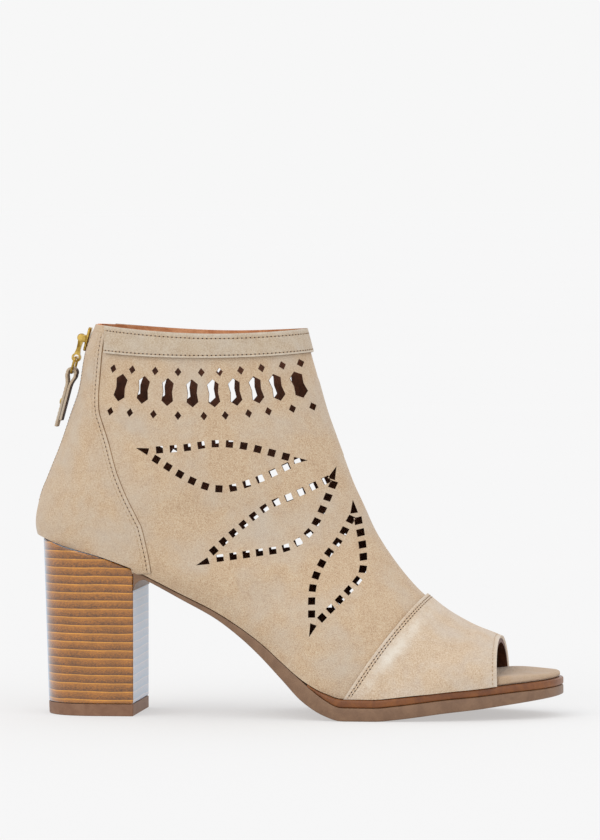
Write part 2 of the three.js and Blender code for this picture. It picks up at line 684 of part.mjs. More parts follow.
const boot = new THREE.Group();
boot.add(
  piece("outsole", outsoleSolid(), "soleBrown"),
  piece("welt", weltSolid(), "weltBrown"),
  piece("heel_block", heelBlockSolid(), "heelStack"),
  piece("heel_top_lift", topLiftSolid(), "liftBrown"),
  piece("insole", insoleSolid(), "suede"),
  piece("upper", upperSolid(), "suede"),
  piece("toe_cap", toeCapSolid(), "suedeBand"),
  piece("collar_band", collarBandSolid(), "suedeBand"),
  piece("zip_tape", zipTapeSolid(), "tape"),
);

const pull = new THREE.Group();
pull.position.copy(pin);
pull.rotation.y = backLean;
pull.add(
  piece("zip_slider", sliderSolid(), "gold"),
  piece("zip_puller", pullerSolid(), "gold"),
  piece("zip_link", linkSolid(), "gold"),
  piece("pull_tab", tabSolid(), "suedeBand"),
  piece("tab_stud", studSolid(), "gold"),
);
boot.add(pull);

export default boot;
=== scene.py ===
# Open-toe suede ankle boot with cut-out leaves, a stacked block heel and a zip up the back. Right shoe.
# Lengths are worked out in millimetres, +X to the toe, +Y to the inner side of the foot, +Z up.
import math
import bmesh
import bpy
import numpy as np
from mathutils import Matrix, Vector


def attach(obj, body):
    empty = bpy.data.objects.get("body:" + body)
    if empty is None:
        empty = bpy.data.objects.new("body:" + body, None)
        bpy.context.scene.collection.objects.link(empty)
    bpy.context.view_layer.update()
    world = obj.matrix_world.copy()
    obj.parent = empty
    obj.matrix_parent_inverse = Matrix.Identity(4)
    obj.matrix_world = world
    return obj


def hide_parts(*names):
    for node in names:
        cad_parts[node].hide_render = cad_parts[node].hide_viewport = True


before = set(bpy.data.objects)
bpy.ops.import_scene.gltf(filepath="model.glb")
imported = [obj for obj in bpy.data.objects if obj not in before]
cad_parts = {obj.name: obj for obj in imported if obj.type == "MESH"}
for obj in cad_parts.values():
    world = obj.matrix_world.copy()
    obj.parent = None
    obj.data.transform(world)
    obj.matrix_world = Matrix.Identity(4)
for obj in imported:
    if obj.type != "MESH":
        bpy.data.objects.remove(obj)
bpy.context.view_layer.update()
mm = 0.001

# The whole boot. Change these with the CAD source, which has the same values. Names that end in At are
# shares of the length, and those that end in Up are shares of the shaft height
boot = dict(
    length=236.6, rearReach=26, ballWidth=86, heelHeight=71.4, toeSpring=9.6, shaftHeight=173,
    collarWidth=60, wall=1.6, overlay=1.1, seam=0.3, outsoleEdge=5.7, weltEdge=3.2,
    toeOpeningAt=0.885, toeOpeningLean=1.4, toeOpeningUp=0.16, bandHeight=10.8, bandStartAt=0.141,
    collarDip=3, collarMiddleAt=0.33, collarSpan=0.25, collarRise=1.3, riseStartAt=0.38, riseSpan=0.26,
    sharpAngle=38,
)

# Sections of the last, from the collar to the toe: where each meets the front ridge and the back or sole,
# how wide it is, and how square its base and ridge are
lastShape = dict(
    at=list(range(16)),
    frontAt=[.5, .5215, .539, .552, .568, .585, .602, .623, .644, .672, .707, .739, .777, .833, .869, .92],
    frontUp=[1.046, .934, .851, .789, .727, .665, .603, .541, .479, .417, .354, .308, .267, .225, .205,
             .175],
    baseAt=[.123, .091, .079, .063, .044, .022, .003, -.004, .03, .131, .279, .397, .511, .651, .786, .92],
    baseUp=[1.046, .934, .84, .775, .699, .624, .555, .491, .385, .347, .254, .179, .035, -.02, .025, .03],
    cuff=[1, 1, 1.01, 1.02, 1, .9, .8, .6, .4, .2, 0, 0, 0, 0, 0, 0],
    lateral=[0, 0, 0, 0, .02, .1, .175, .295, .425, .585, .77, .86, .94, .95, .855, .62],
    medial=[0, 0, 0, 0, .02, .1, .175, .295, .425, .56, .72, .8, .9, .955, .905, .73],
    widest=[.5, .5, .5, .49, .48, .45, .42, .4, .42, .45, .5, .48, .36, .32, .34, .38],
    round=[2.1, 2.1, 2.1, 2.1, 2.1, 2.1, 2.1, 2.2, 2.3, 2.4, 2.2, 2.8, 4, 3, 3, 3],
    crown=[2.1, 2.1, 2, 2, 2, 2, 2, 2, 2, 2, 2, 2, 2, 2, 2.1, 2.2],
)
toeSection = lastShape["at"][-1]
# The sole from the side: how far the heel lifts its underside, how far the toe springs, and how thick the
# edge is
soleSide = dict(
    at=[-.06, 0, .059, .127, .186, .228, .287, .351, .397, .44, .482, .524, .564, .6,
        .66, .702, .744, .79, .85, .913, 1, 1.06],
    lift=[1.13, 1.082, 1.018, .961, .908, .841, .735, .62, .511, .388, .25, .113, .034, 0] + [0] * 8,
    spring=[0] * 14 + [0, .086, .215, .365, .52, .725, 1, 1.17],
    edge=[.3, .3, .3, .3, .2, .19, .24, .32, .455, .63, .81, 1.02, 1.06, 1.04,
          1.03, 1.04, 1.04, 1.03, 1, .95, .85, .85],
)
# The sole from above: its outer and inner side, as shares of half the ball's width
soleOutline = dict(
    at=[.18, .228, .29, .35, .41, .47, .53, .595, .66, .723, .786, .85, .9, .94, .968, .988, .997, 1],
    lateral=[.62, .61, .595, .605, .665, .78, .905, .995, 1, .975, .905, .79, .665, .525, .38, .205, .04,
             -.11],
    medial=[.61, .595, .565, .56, .6, .705, .85, .95, .99, .995, .955, .88, .785, .675, .555, .41, .265,
            .11],
)


def between(table, column, at):
    # Value of a column between the rows of its table: a cubic over each gap, whose slope at a row is the
    # harmonic mean of the rises on both sides, so the curve never overshoots a row
    x = np.asarray(table["at"], float)
    y = np.asarray(table[column], float)
    rise = np.diff(y) / np.diff(x)
    product = rise[:-1] * rise[1:]
    total = rise[:-1] + rise[1:]
    slope = np.empty_like(x)
    slope[0], slope[-1] = rise[0], rise[-1]
    slope[1:-1] = np.where(product > 0, 2 * product / np.where(total == 0, 1, total), 0)
    at = np.asarray(at, float)
    i = np.clip(np.searchsorted(x, at) - 1, 0, len(x) - 2)
    span = x[i + 1] - x[i]
    t = np.clip((at - x[i]) / span, 0, 1)
    near = (1 + 2 * t) * (1 - t) ** 2 * y[i] + t * t * (3 - 2 * t) * y[i + 1]
    return near + span * (t * (1 - t) ** 2 * slope[i] + t * t * (t - 1) * slope[i + 1])


def stationX(share):
    # Place along the boot, from its share of the length
    return np.asarray(share) * boot["length"] - boot["rearReach"]


def shareOf(x):
    # Share of the length, from a place along the boot
    return (np.asarray(x) + boot["rearReach"]) / boot["length"]


def undersideZ(x):
    # Heel height times the lift column plus toe spring times the spring column
    lift = between(soleSide, "lift", shareOf(x)) * boot["heelHeight"]
    return lift + between(soleSide, "spring", shareOf(x)) * boot["toeSpring"]


def featherZ(x):
    # Underside plus the thickness of outsole and welt there
    foreEdge = boot["outsoleEdge"] + boot["weltEdge"] + boot["seam"]
    return undersideZ(x) + between(soleSide, "edge", shareOf(x)) * foreEdge


def smoothStep(low, high, value):
    # 0 below low and 1 above high, with a cubic between them that is level at both
    t = np.clip((value - low) / (high - low), 0, 1)
    return t * t * (3 - 2 * t)


def collarLineZ(x):
    # The collar dips in the middle of each side, on a parabola
    across = (x - stationX(boot["collarMiddleAt"])) / (boot["collarSpan"] * boot["length"])
    return boot["shaftHeight"] + 1 - boot["collarDip"] * (1 - np.minimum(across * across, 1))


def collarTopZ(x):
    # The same line, raised a little to the back by a cubic step
    behind = stationX(boot["riseStartAt"]) - x
    return collarLineZ(x) + boot["collarRise"] * smoothStep(0, boot["riseSpan"] * boot["length"], behind)


# Soft hollows and folds of the worn suede in the side view: two ends as (share of length, share of shaft
# height), half width and depth in mm (a ridge is negative), and the side: 1 outer, -1 inner, 0 both
creases = [
    dict(ends=[(.44, .30), (.60, .42)], width=9.0, depth=0.8, side=0),
    dict(ends=[(.13, .50), (.20, .70)], width=8.0, depth=0.5, side=0),
    dict(ends=[(.30, .52), (.38, .40)], width=9.0, depth=0.6, side=0),
    dict(ends=[(.66, .22), (.60, .08)], width=5.0, depth=0.5, side=1),
    dict(ends=[(.74, .26), (.80, .12)], width=7.0, depth=-0.5, side=0),
]


def relief(point, v):
    # Sum over the creases of minus depth times the bell curve of the distance to the line between its ends
    total = np.zeros(point.shape[:-1])
    for crease in creases:
        (ax, az), (bx, bz) = crease["ends"]
        ax, bx = stationX(ax), stationX(bx)
        az, bz = az * boot["shaftHeight"], bz * boot["shaftHeight"]
        dx, dz = bx - ax, bz - az
        t = ((point[..., 0] - ax) * dx + (point[..., 2] - az) * dz) / (dx * dx + dz * dz)
        t = np.clip(t, 0, 1)
        gap = np.hypot(point[..., 0] - ax - t * dx, point[..., 2] - az - t * dz)
        onSide = 1 if crease["side"] == 0 else smoothStep(-0.2, 0.2, np.sin(v) * crease["side"])
        total -= crease["depth"] * np.exp(-(gap / crease["width"]) ** 2) * onSide
    return total


def lastPoint(u, v):
    # Point of the last. u: section of the table. v: angle round it, 0 on the ridge, pi at the back or under
    # the foot, positive on the outer side. A superellipse between the two ends of the section
    v = (np.asarray(v, float) + np.pi) % (2 * np.pi) - np.pi
    u = np.asarray(u, float)
    column = {name: between(lastShape, name, u) for name in lastShape if name != "at"}
    half = column["cuff"] * boot["collarWidth"] / 2
    half = half + np.where(v >= 0, column["lateral"], column["medial"]) * boot["ballWidth"] / 2
    cos, sin = np.cos(v), np.abs(np.sin(v))
    power = np.where(cos > 0, column["crown"], column["round"])
    radius = (np.abs(cos) ** power + sin ** power) ** (-1 / power)
    along = column["widest"] + radius * cos * np.where(cos > 0, 1 - column["widest"], column["widest"])
    side = -np.sign(v) * radius * sin * half
    share = column["baseAt"] + (column["frontAt"] - column["baseAt"]) * along
    up = column["baseUp"] + (column["frontUp"] - column["baseUp"]) * along
    return np.stack([stationX(share), side, up * boot["shaftHeight"]], -1)


def lastNormal(u, v):
    # Cross product of small steps round the section and along the last
    across = lastPoint(u, v + 2e-3) - lastPoint(u, v - 2e-3)
    along = lastPoint(u + 0.02, v) - lastPoint(u - 0.02, v)
    normal = np.cross(across, along)
    return normal / np.linalg.norm(normal, axis=-1, keepdims=True)


def skin(u, v, offset):
    # Last, moved along its normal by an offset and by the creases
    point = lastPoint(u, v)
    lift = np.asarray(offset) + relief(point, v)
    return point + lastNormal(u, v) * lift[..., None]


def gridFaces(rows, columns, closeRows=False, closeColumns=False):
    # Four-sided faces of a grid of points, which may join up with itself either way
    i = np.arange(rows if closeRows else rows - 1)[:, None]
    j = np.arange(columns if closeColumns else columns - 1)[None, :]
    nextI, nextJ = (i + 1) % rows, (j + 1) % columns
    quads = [i * columns + j, i * columns + nextJ, nextI * columns + nextJ, nextI * columns + j]
    return np.stack(np.broadcast_arrays(*quads), -1).reshape(-1, 4).tolist()


def meshObject(name, points, faces, materials, sharp=None):
    # A smooth-shaded piece from points in millimetres, with sharp edges above an angle in degrees
    mesh = bpy.data.meshes.new(name)
    mesh.from_pydata((np.asarray(points, float).reshape(-1, 3) * mm).tolist(), [], faces)
    for material in materials:
        mesh.materials.append(material)
    mesh.polygons.foreach_set("use_smooth", np.ones(len(mesh.polygons), bool))
    if sharp is not None:
        mesh.set_sharp_from_angle(angle=math.radians(sharp))
    mesh.update()
    piece = bpy.data.objects.new(name, mesh)
    bpy.context.scene.collection.objects.link(piece)
    return piece


def tubeObject(name, rings, materials, sharp=None):
    # Rings of points joined in order, with a fan of faces closing each end
    rows, columns = rings.shape[:2]
    faces = gridFaces(rows, columns, closeColumns=True)
    first, last = rows * columns, rows * columns + 1
    j = np.arange(columns)
    nextJ = (j + 1) % columns
    faces += np.stack([np.full(columns, first), nextJ, j], -1).tolist()
    top = (rows - 1) * columns
    faces += np.stack([np.full(columns, last), top + j, top + nextJ], -1).tolist()
    points = np.concatenate([rings.reshape(-1, 3), rings[0].mean(0)[None], rings[-1].mean(0)[None]])
    piece = meshObject(name, points, faces, materials)
    faceOut(piece)
    if sharp is not None:
        piece.data.set_sharp_from_angle(angle=math.radians(sharp))
    return piece


def faceOut(piece):
    # Turns every face of a closed piece outwards
    work = bmesh.new()
    work.from_mesh(piece.data)
    bmesh.ops.recalc_face_normals(work, faces=work.faces)
    work.to_mesh(piece.data)
    work.free()


def bake(piece):
    # Applies the modifiers of a piece to its mesh
    graph = bpy.context.evaluated_depsgraph_get()
    mesh = bpy.data.meshes.new_from_object(piece.evaluated_get(graph))
    piece.modifiers.clear()
    piece.data = mesh


def cut(piece, cutter, operation="DIFFERENCE"):
    # Cuts one closed piece with another, which is used up
    step = piece.modifiers.new("cut", "BOOLEAN")
    step.object = cutter
    step.operation = operation
    step.solver = "MANIFOLD"
    bake(piece)
    bpy.data.objects.remove(cutter)


def bevel(piece, width, segments=2, angle=40):
    # Rounds the edges that turn by more than an angle in degrees
    step = piece.modifiers.new("edges", "BEVEL")
    step.width = width * mm
    step.segments = segments
    step.limit_method = "ANGLE"
    step.angle_limit = math.radians(angle)


def solidify(piece, thickness, inner=0, rim=0):
    # Gives a sheet its thickness, inwards, with steps to the materials of its inner face and its edge
    step = piece.modifiers.new("thickness", "SOLIDIFY")
    step.thickness = thickness * mm
    step.offset = -1
    step.use_even_offset = True
    step.material_offset = inner
    step.material_offset_rim = rim


def finishPiece(piece, slot, body, *nodes):
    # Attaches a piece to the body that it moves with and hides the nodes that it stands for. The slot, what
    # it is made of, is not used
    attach(piece, body)
    if nodes:
        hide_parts(*nodes)


def setWorn(piece, values):
    # How rubbed or folded the suede is at each point, from 0 to 1
    attribute = piece.data.attributes.new("worn", "FLOAT", "POINT")
    attribute.data.foreach_set("value", np.clip(values, 0, 1).ravel())


# Materials

def linear(code):
    # Linear colour of an sRGB hex code
    parts = [int(code[i:i + 2], 16) / 255 for i in (1, 3, 5)]
    return [p / 12.92 if p <= 0.04045 else ((p + 0.055) / 1.055) ** 2.4 for p in parts] + [1]


def addNode(tree, kind, settings=None, links=None):
    # A node with its settings, by property or by input name, and the links into it
    node = tree.nodes.new(kind)
    for name, value in (settings or {}).items():
        if isinstance(name, int) or name in node.inputs:
            node.inputs[name].default_value = value
        else:
            setattr(node, name, value)
    for name, source in (links or {}).items():
        tree.links.new(source, node.inputs[name])
    return node


def startMaterial(name, values):
    # A material with one shader, and the place on the piece that its patterns follow
    material = bpy.data.materials.new(name)
    material.use_nodes = True
    tree = material.node_tree
    tree.nodes.clear()
    shader = addNode(tree, "ShaderNodeBsdfPrincipled", values)
    addNode(tree, "ShaderNodeOutputMaterial", links={"Surface": shader.outputs["BSDF"]})
    place = addNode(tree, "ShaderNodeTexCoord")
    return material, tree, shader, place.outputs["Object"]


def ramp(tree, factor, stops):
    # Colours, or grey values, at places from 0 to 1 along a factor
    node = addNode(tree, "ShaderNodeValToRGB", links={"Fac": factor})
    band = node.color_ramp
    while len(band.elements) < len(stops):
        band.elements.new(0.5)
    for element, (at, colour) in zip(band.elements, stops):
        element.position = at
        element.color = linear(colour) if isinstance(colour, str) else [colour, colour, colour, 1]
    return node.outputs["Color"]


def noise(tree, place, size, detail=3, rough=0.55, distortion=0.0):
    # Noise whose blotches are about this many millimetres across
    node = addNode(tree, "ShaderNodeTexNoise", {
        "Scale": 1 / (size * mm), "Detail": detail, "Roughness": rough, "Distortion": distortion,
    }, {"Vector": place})
    return node.outputs["Fac"]


# Suedes: colours of the nap, and widths in mm of its grey areas, of the strokes that it was brushed with
# and of its tufts. The tufts are coarser than real fibres, which are too fine to show in the render
upperSuede = dict(
    dark="#AB8F74", mid="#C2A98C", light="#CEBCA1", grey="#BDB4A8", blotch=24, brush=6, nap=0.55)
collarSuede = dict(
    dark="#A48D76", mid="#B9A68D", light="#C6B8A4", grey="#BBB3A8", blotch=18, brush=5, nap=0.55)
toeCapSuede = dict(
    dark="#B2977F", mid="#C8B297", light="#D7C5B0", grey="#C7C0B8", blotch=18, brush=5, nap=0.55)
footbedSuede = dict(
    dark="#A58B6F", mid="#B79D81", light="#C3AB92", grey="#BCAA99", blotch=12, brush=4, nap=0.45)


def suedeMaterial(name, look):
    # Split leather with a raised nap: warm and greyish areas where it is brushed two ways, paler where the
    # attribute "worn" says that it is folded or rubbed, and a fine fibre bump
    material, tree, shader, place = startMaterial(name, {
        "Roughness": 0.95, "Sheen Weight": 0.25, "Sheen Roughness": 0.5, "Sheen Tint": linear("#E2E2E6"),
        "Specular IOR Level": 0.15,
    })
    blotch = noise(tree, place, look["blotch"], 3, 0.55, 0.2)
    brush = noise(tree, place, look["brush"], 6, 0.7, 0.15)
    nap = noise(tree, place, look["nap"], 3, 0.7)
    warm = addNode(tree, "ShaderNodeMix", {"data_type": "FLOAT", "Factor": 0.78}, {"A": brush, "B": nap})
    colour = ramp(tree, warm.outputs[0], [(0.36, look["dark"]), (0.5, look["mid"]), (0.64, look["light"])])
    cool = ramp(tree, blotch, [(0.44, 0.0), (0.74, 0.6)])
    greyed = addNode(tree, "ShaderNodeMix", {"data_type": "RGBA", "B": linear(look["grey"])},
                     {"Factor": cool, "A": colour})
    worn = addNode(tree, "ShaderNodeAttribute", {"attribute_name": "worn"})
    uneven = ramp(tree, brush, [(0.3, 0.35), (0.62, 1.0)])
    rubbed = addNode(tree, "ShaderNodeMath", {"operation": "MULTIPLY"}, {0: worn.outputs["Fac"], 1: uneven})
    pale = addNode(tree, "ShaderNodeMix", {"data_type": "RGBA", "B": linear("#DDD5C8")},
                   {"Factor": rubbed.outputs[0], "A": greyed.outputs[2]})
    bumps = addNode(tree, "ShaderNodeBump", {"Strength": 0.6, "Distance": 0.0004}, {"Height": nap})
    tree.links.new(pale.outputs[2], shader.inputs["Base Color"])
    tree.links.new(bumps.outputs["Normal"], shader.inputs["Normal"])
    return material


def leatherMaterial(name, dark, light, grain, rough, coat=0.0):
    # Smooth leather or rubber: a pebble grain of cells, with its width in mm, and uneven dye
    material, tree, shader, place = startMaterial(name, {
        "Roughness": rough, "Coat Weight": coat, "Coat Roughness": 0.22,
    })
    dye = noise(tree, place, 6, 5, 0.65, 0.4)
    colour = ramp(tree, dye, [(0.38, dark), (0.62, light)])
    cells = addNode(tree, "ShaderNodeTexVoronoi", {"Scale": 1 / (grain * mm)}, {"Vector": place})
    bumps = addNode(tree, "ShaderNodeBump", {"Strength": 0.25, "Distance": 0.0002},
                    {"Height": cells.outputs["Distance"]})
    tree.links.new(colour, shader.inputs["Base Color"])
    tree.links.new(bumps.outputs["Normal"], shader.inputs["Normal"])
    return material


# Lining colours: painted shade deep in the boot, the tan facing at the top, and the heights in mm between
# them
liningLook = dict(paintedShade="#4E2B19", paintedShadeLight="#693D25", top="#C57A4C", topLight="#E09E70", facingFrom=165,
                  facingFull=167)


def liningMaterial(name, look):
    # Calf lining, tan round the collar above a height in mm, and below it dark with painted shade of the
    # boot's closed inside
    material, tree, shader, place = startMaterial(name, {"Roughness": 0.6})
    dye = noise(tree, place, 6, 5, 0.65, 0.4)
    paintedShade = ramp(tree, dye, [(0.38, look["paintedShade"]), (0.62, look["paintedShadeLight"])])
    facing = ramp(tree, dye, [(0.38, look["top"]), (0.62, look["topLight"])])
    split = addNode(tree, "ShaderNodeSeparateXYZ", links={"Vector": place})
    high = addNode(tree, "ShaderNodeMapRange",
                   {"From Min": look["facingFrom"] * mm, "From Max": look["facingFull"] * mm},
                   {"Value": split.outputs["Z"]})
    colour = addNode(tree, "ShaderNodeMix", {"data_type": "RGBA"},
                     {"Factor": high.outputs["Result"], "A": paintedShade, "B": facing})
    grain = noise(tree, place, 0.7, 2, 0.6)
    bumps = addNode(tree, "ShaderNodeBump", {"Strength": 0.3, "Distance": 0.0002}, {"Height": grain})
    tree.links.new(colour.outputs[2], shader.inputs["Base Color"])
    tree.links.new(bumps.outputs["Normal"], shader.inputs["Normal"])
    return material


# Layers of the heel: their height and the place of the lowest in mm, and their colours
stackLook = dict(
    layer=3.68, base=0.9, body="#AC6B16", light="#DE972E", dark="#43240C", line="#6D4014", under="#8C5416",
    upper="#B87421", coat=0.8)


def stackMaterial(name, look):
    # Stacked leather layers: a pale line at the top of each, darker and flecked below it, under a lacquer,
    # with a bluish sheen that paints a pale blue reflection at a flat angle
    material, tree, shader, place = startMaterial(name, {
        "Roughness": 0.4, "Coat Weight": look["coat"], "Coat Roughness": 0.15,
        # Bluish sheen tint: a painted reflection of pale blue light
        "Sheen Weight": 1.0, "Sheen Roughness": 0.3, "Sheen Tint": linear("#BCE0FF"),
    })
    wave = noise(tree, place, 27, 2, 0.5)
    split = addNode(tree, "ShaderNodeSeparateXYZ", links={"Vector": place})
    height = addNode(tree, "ShaderNodeMath", {"operation": "SUBTRACT", 1: look["base"] * mm},
                     {0: split.outputs["Z"]})
    shift = addNode(tree, "ShaderNodeMath", {"operation": "MULTIPLY_ADD", 1: 0.0015},
                    {0: wave, 2: height.outputs[0]})
    count = addNode(tree, "ShaderNodeMath", {"operation": "DIVIDE", 1: look["layer"] * mm},
                    {0: shift.outputs[0]})
    part = addNode(tree, "ShaderNodeMath", {"operation": "FRACT"}, {0: count.outputs[0]})
    line = ramp(tree, part.outputs[0], [(0.0, look["line"]), (0.1, look["under"]), (0.42, look["body"]),
                                        (0.83, look["upper"]), (0.91, look["light"]), (0.98, look["light"]),
                                        (1.0, look["line"])])
    stretch = addNode(tree, "ShaderNodeMapping", {"Scale": (1, 1, 2.2)}, {"Vector": place})
    fleck = noise(tree, stretch.outputs[0], 1.0, 4, 0.85, 0.3)
    mask = ramp(tree, fleck, [(0.44, 0.9), (0.56, 0.0)])
    low = ramp(tree, part.outputs[0], [(0.0, 0.9), (0.45, 0.75), (0.85, 0.25)])
    spots = addNode(tree, "ShaderNodeMath", {"operation": "MULTIPLY"}, {0: mask, 1: low})
    flecked = addNode(tree, "ShaderNodeMix", {"data_type": "RGBA", "B": linear(look["dark"])},
                      {"Factor": spots.outputs[0], "A": line})
    tone = ramp(tree, noise(tree, place, 9, 3, 0.6), [(0.35, 0.78), (0.65, 1.0)])
    colour = addNode(tree, "ShaderNodeMix", {"data_type": "RGBA", "blend_type": "MULTIPLY", "Factor": 1.0},
                     {"A": flecked.outputs[2], "B": tone})
    edge = ramp(tree, part.outputs[0], [(0.0, 0.0), (0.06, 1.0), (0.94, 1.0), (1.0, 0.0)])
    bumps = addNode(tree, "ShaderNodeBump", {"Strength": 0.25, "Distance": 0.0002}, {"Height": edge})
    tree.links.new(colour.outputs[2], shader.inputs["Base Color"])
    tree.links.new(bumps.outputs["Normal"], shader.inputs["Normal"])
    return material


def metalMaterial(name, colour, bright, rough):
    # Plated metal: bright, with faint smears that are paler and rougher
    material, tree, shader, place = startMaterial(name, {"Metallic": 1.0})
    smear = noise(tree, place, 2.2, 2, 0.5)
    tint = ramp(tree, smear, [(0.35, colour), (0.65, bright)])
    gloss = ramp(tree, smear, [(0.3, rough), (0.7, rough + 0.12)])
    tree.links.new(tint, shader.inputs["Base Color"])
    tree.links.new(gloss, shader.inputs["Roughness"])
    return material


def wovenMaterial(name, dark, light, pitch):
    # Woven or twisted thread: ribs across it, a pitch in mm apart
    material, tree, shader, place = startMaterial(name, {"Roughness": 0.85, "Sheen Weight": 0.2})
    ribs = addNode(tree, "ShaderNodeTexWave", {"Scale": 0.31 / (pitch * mm), "Distortion": 0.4,
                                               "bands_direction": "Z"}, {"Vector": place})
    colour = ramp(tree, ribs.outputs["Fac"], [(0.2, dark), (0.8, light)])
    bumps = addNode(tree, "ShaderNodeBump", {"Strength": 0.5, "Distance": 0.0002},
                    {"Height": ribs.outputs["Fac"]})
    tree.links.new(colour, shader.inputs["Base Color"])
    tree.links.new(bumps.outputs["Normal"], shader.inputs["Normal"])
    return material


# Split cowhide with its nap brushed up, in sand: matt, soft, and cloudy where the nap lies another way
suede = suedeMaterial("sand suede", upperSuede)
bandSuede = suedeMaterial("pale sand suede", collarSuede)  # the same, a little greyer where hands rub it
capSuede = suedeMaterial("toe cap suede", toeCapSuede)  # the same, paler
insoleSuede = suedeMaterial("footbed suede", footbedSuede)  # the same, pressed flat and browner
# Cut side of the split, made dark as painted shade: the shadow along the back seam's step and round the
# collar band
shadedSuedeEdge = leatherMaterial("raw suede edge with painted shade", "#6E543A", "#8F7252", 0.4, 0.9)  # cut side of the split: dull
# Aniline calf, glued in: satin, tan at the top, dark with painted shade in the depth
lining = liningMaterial("tan lining leather", liningLook)
cutEdge = leatherMaterial("burnt cut edge", "#4A2C1A", "#6B452B", 0.4, 0.85)  # singed by the laser: dark
# Flesh side of the strap, made dark as painted shade where it faces the boot
shadedFleshSide = leatherMaterial("leather strap flesh side with painted shade", "#3E2516", "#5A3A24", 0.5, 0.75)  # flesh side: rough, dark
# Pressed sole leather, sealed: a soft satin brown
soleLeather = leatherMaterial("satin brown sole", "#71533C", "#7F6047", 0.9, 0.5, 0.1)
# Veg-tanned welt, stained and waxed: redder, with a faint gloss
weltLeather = leatherMaterial("waxed welt leather", "#693810", "#7F4918", 0.8, 0.45, 0.1)
liftRubber = leatherMaterial("brown heel rubber", "#76523B", "#846149", 0.6, 0.6)  # moulded rubber: matt
# Layers of board leather, pressed, turned and lacquered: glossy, in fine stripes
stack = stackMaterial("lacquered leather stack", stackLook)
# Zinc alloy, cast, polished and plated in a brass tone: bright yellow highlights
gold = metalMaterial("polished gold metal", "#8A6A26", "#DDBB66", 0.2)
tape = wovenMaterial("woven zip tape", "#9C7E5E", "#C0A27E", 0.5)  # polyester twill: dull, ribbed
thread = wovenMaterial("tan thread", "#A08262", "#C6AA86", 0.25)  # bonded polyester thread: dull, twisted
# Needle holes: dark marks of painted shade where the leather is pierced
needleHoleShade = leatherMaterial("needle hole", "#3A2414", "#4E3320", 0.3, 0.9)  # pierced leather, in shadow
print("materials made")

# Upper: the last's skin with a wall, cut at the sole, collar and toe opening

upperGrid = dict(rows=230, columns=180, innerRows=120, innerColumns=96)
upperCut = dict(backAt=-0.05, ridgeAt=0.6, ridgeUp=1.02)


def lastTube(name, offset, rows, columns, slotIndex):
    # The whole last as a closed piece, moved out by an offset
    u = np.linspace(0, toeSection, rows)[:, None]
    v = np.linspace(-np.pi, np.pi, columns, endpoint=False)[None, :]
    u, v = np.broadcast_arrays(u, v)
    piece = tubeObject(name, skin(u, v, offset), [suede, lining, cutEdge])
    piece.data.polygons.foreach_set("material_index", np.full(len(piece.data.polygons), slotIndex))
    return piece


def prismObject(name, outlines, fromY, toY, slotIndex=2):
    # Outlines in the side view, each carried straight across from one side to the other
    points, faces, start = [], [], 0
    for outline in outlines:
        flat = np.asarray(outline, float)
        count = len(flat)
        for y in (fromY, toY):
            points.append(np.stack([flat[:, 0], np.full(count, y), flat[:, 1]], -1))
        faces += [(start + i, start + (i + 1) % count, start + count + (i + 1) % count, start + count + i)
                  for i in range(count)]
        faces += [tuple(range(start, start + count)),
                  tuple(range(start + 2 * count - 1, start + count - 1, -1))]
        start += 2 * count
    piece = meshObject(name, np.concatenate(points), faces, [suede, lining, cutEdge])
    faceOut(piece)
    piece.data.polygons.foreach_set("material_index", np.full(len(faces), slotIndex))
    return piece


def keptOutline():
    # What stays of the upper in the side view: above the sole, below the collar and behind the toe opening
    backX, frontX = stationX(upperCut["backAt"]), stationX(upperCut["ridgeAt"])
    openX = stationX(boot["toeOpeningAt"])
    alongSole = np.linspace(backX, openX, 120)
    alongCollar = np.linspace(frontX, backX, 60)
    return np.concatenate([
        np.stack([alongSole, featherZ(alongSole) + boot["seam"]], -1),
        [[openX - boot["toeOpeningLean"], featherZ(openX) + boot["shaftHeight"] * boot["toeOpeningUp"]],
         [frontX, boot["shaftHeight"] * upperCut["ridgeUp"]]],
        np.stack([alongCollar, collarTopZ(alongCollar)], -1),
    ])


# Cut-outs. Sizes in mm, places as shares of the length and of the shaft height. A slot is narrow at its
# waist, wide at its shoulders, and pointed at both ends. Each leaf has two pointed ends, and a count of
# squares along each side
cutOuts = dict(
    diamond=(3.1, 4.0), slot=dict(wide=5.3, waist=4.1, tall=12.5, shoulder=2.3), square=3.2, tip=6.0,
    uprightAt=0.29, lean=1.57, ridgeGap=14, middleGap=1.5,
    rows=dict(at=[.155, .33, .53], upper=[.897, .889, .914], slot=[.85, .835, .859],
              lower=[.787, .777, .799]),
    upper=[.158, .196, .241, .285, .329, .363, .402, .44, .477, .508],
    slots=[.173, .218, .265, .312, .352, .392, .431, .468, .506],
    lower=[.153, .192, .238, .285, .334, .374, .417, .453, .496, .531],
    leaves=[
        dict(ends=[((.204, .694), (.23, .684)), ((.525, .662), (.502, .662))], sides=[
            (10, [(.25, .69), (.3, .696), (.354, .706), (.409, .7), (.485, .672)]),
            (11, [(.244, .665), (.313, .61), (.364, .59), (.417, .604), (.486, .646)])]),
        dict(ends=[((.319, .393), (.346, .407)), ((.575, .645), (.568, .617))], sides=[
            (11, [(.352, .431), (.39, .478), (.449, .542), (.496, .57), (.558, .61)]),
            (12, [(.364, .412), (.43, .425), (.491, .44), (.529, .477), (.553, .538), (.57, .598)])]),
        dict(ends=[((.605, .558), (.608, .528)), ((.536, .213), (.544, .245))], sides=[
            (9, [(.603, .508), (.582, .454), (.556, .404), (.54, .343), (.54, .272)]),
            (10, [(.616, .504), (.626, .437), (.628, .374), (.604, .327), (.56, .263)])]),
    ],
)


def sidePoint(place):
    # Place in the side view, from shares of the length and of the shaft height
    place = np.asarray(place, float)
    return np.stack([stationX(place[..., 0]), place[..., 1] * boot["shaftHeight"]], -1)


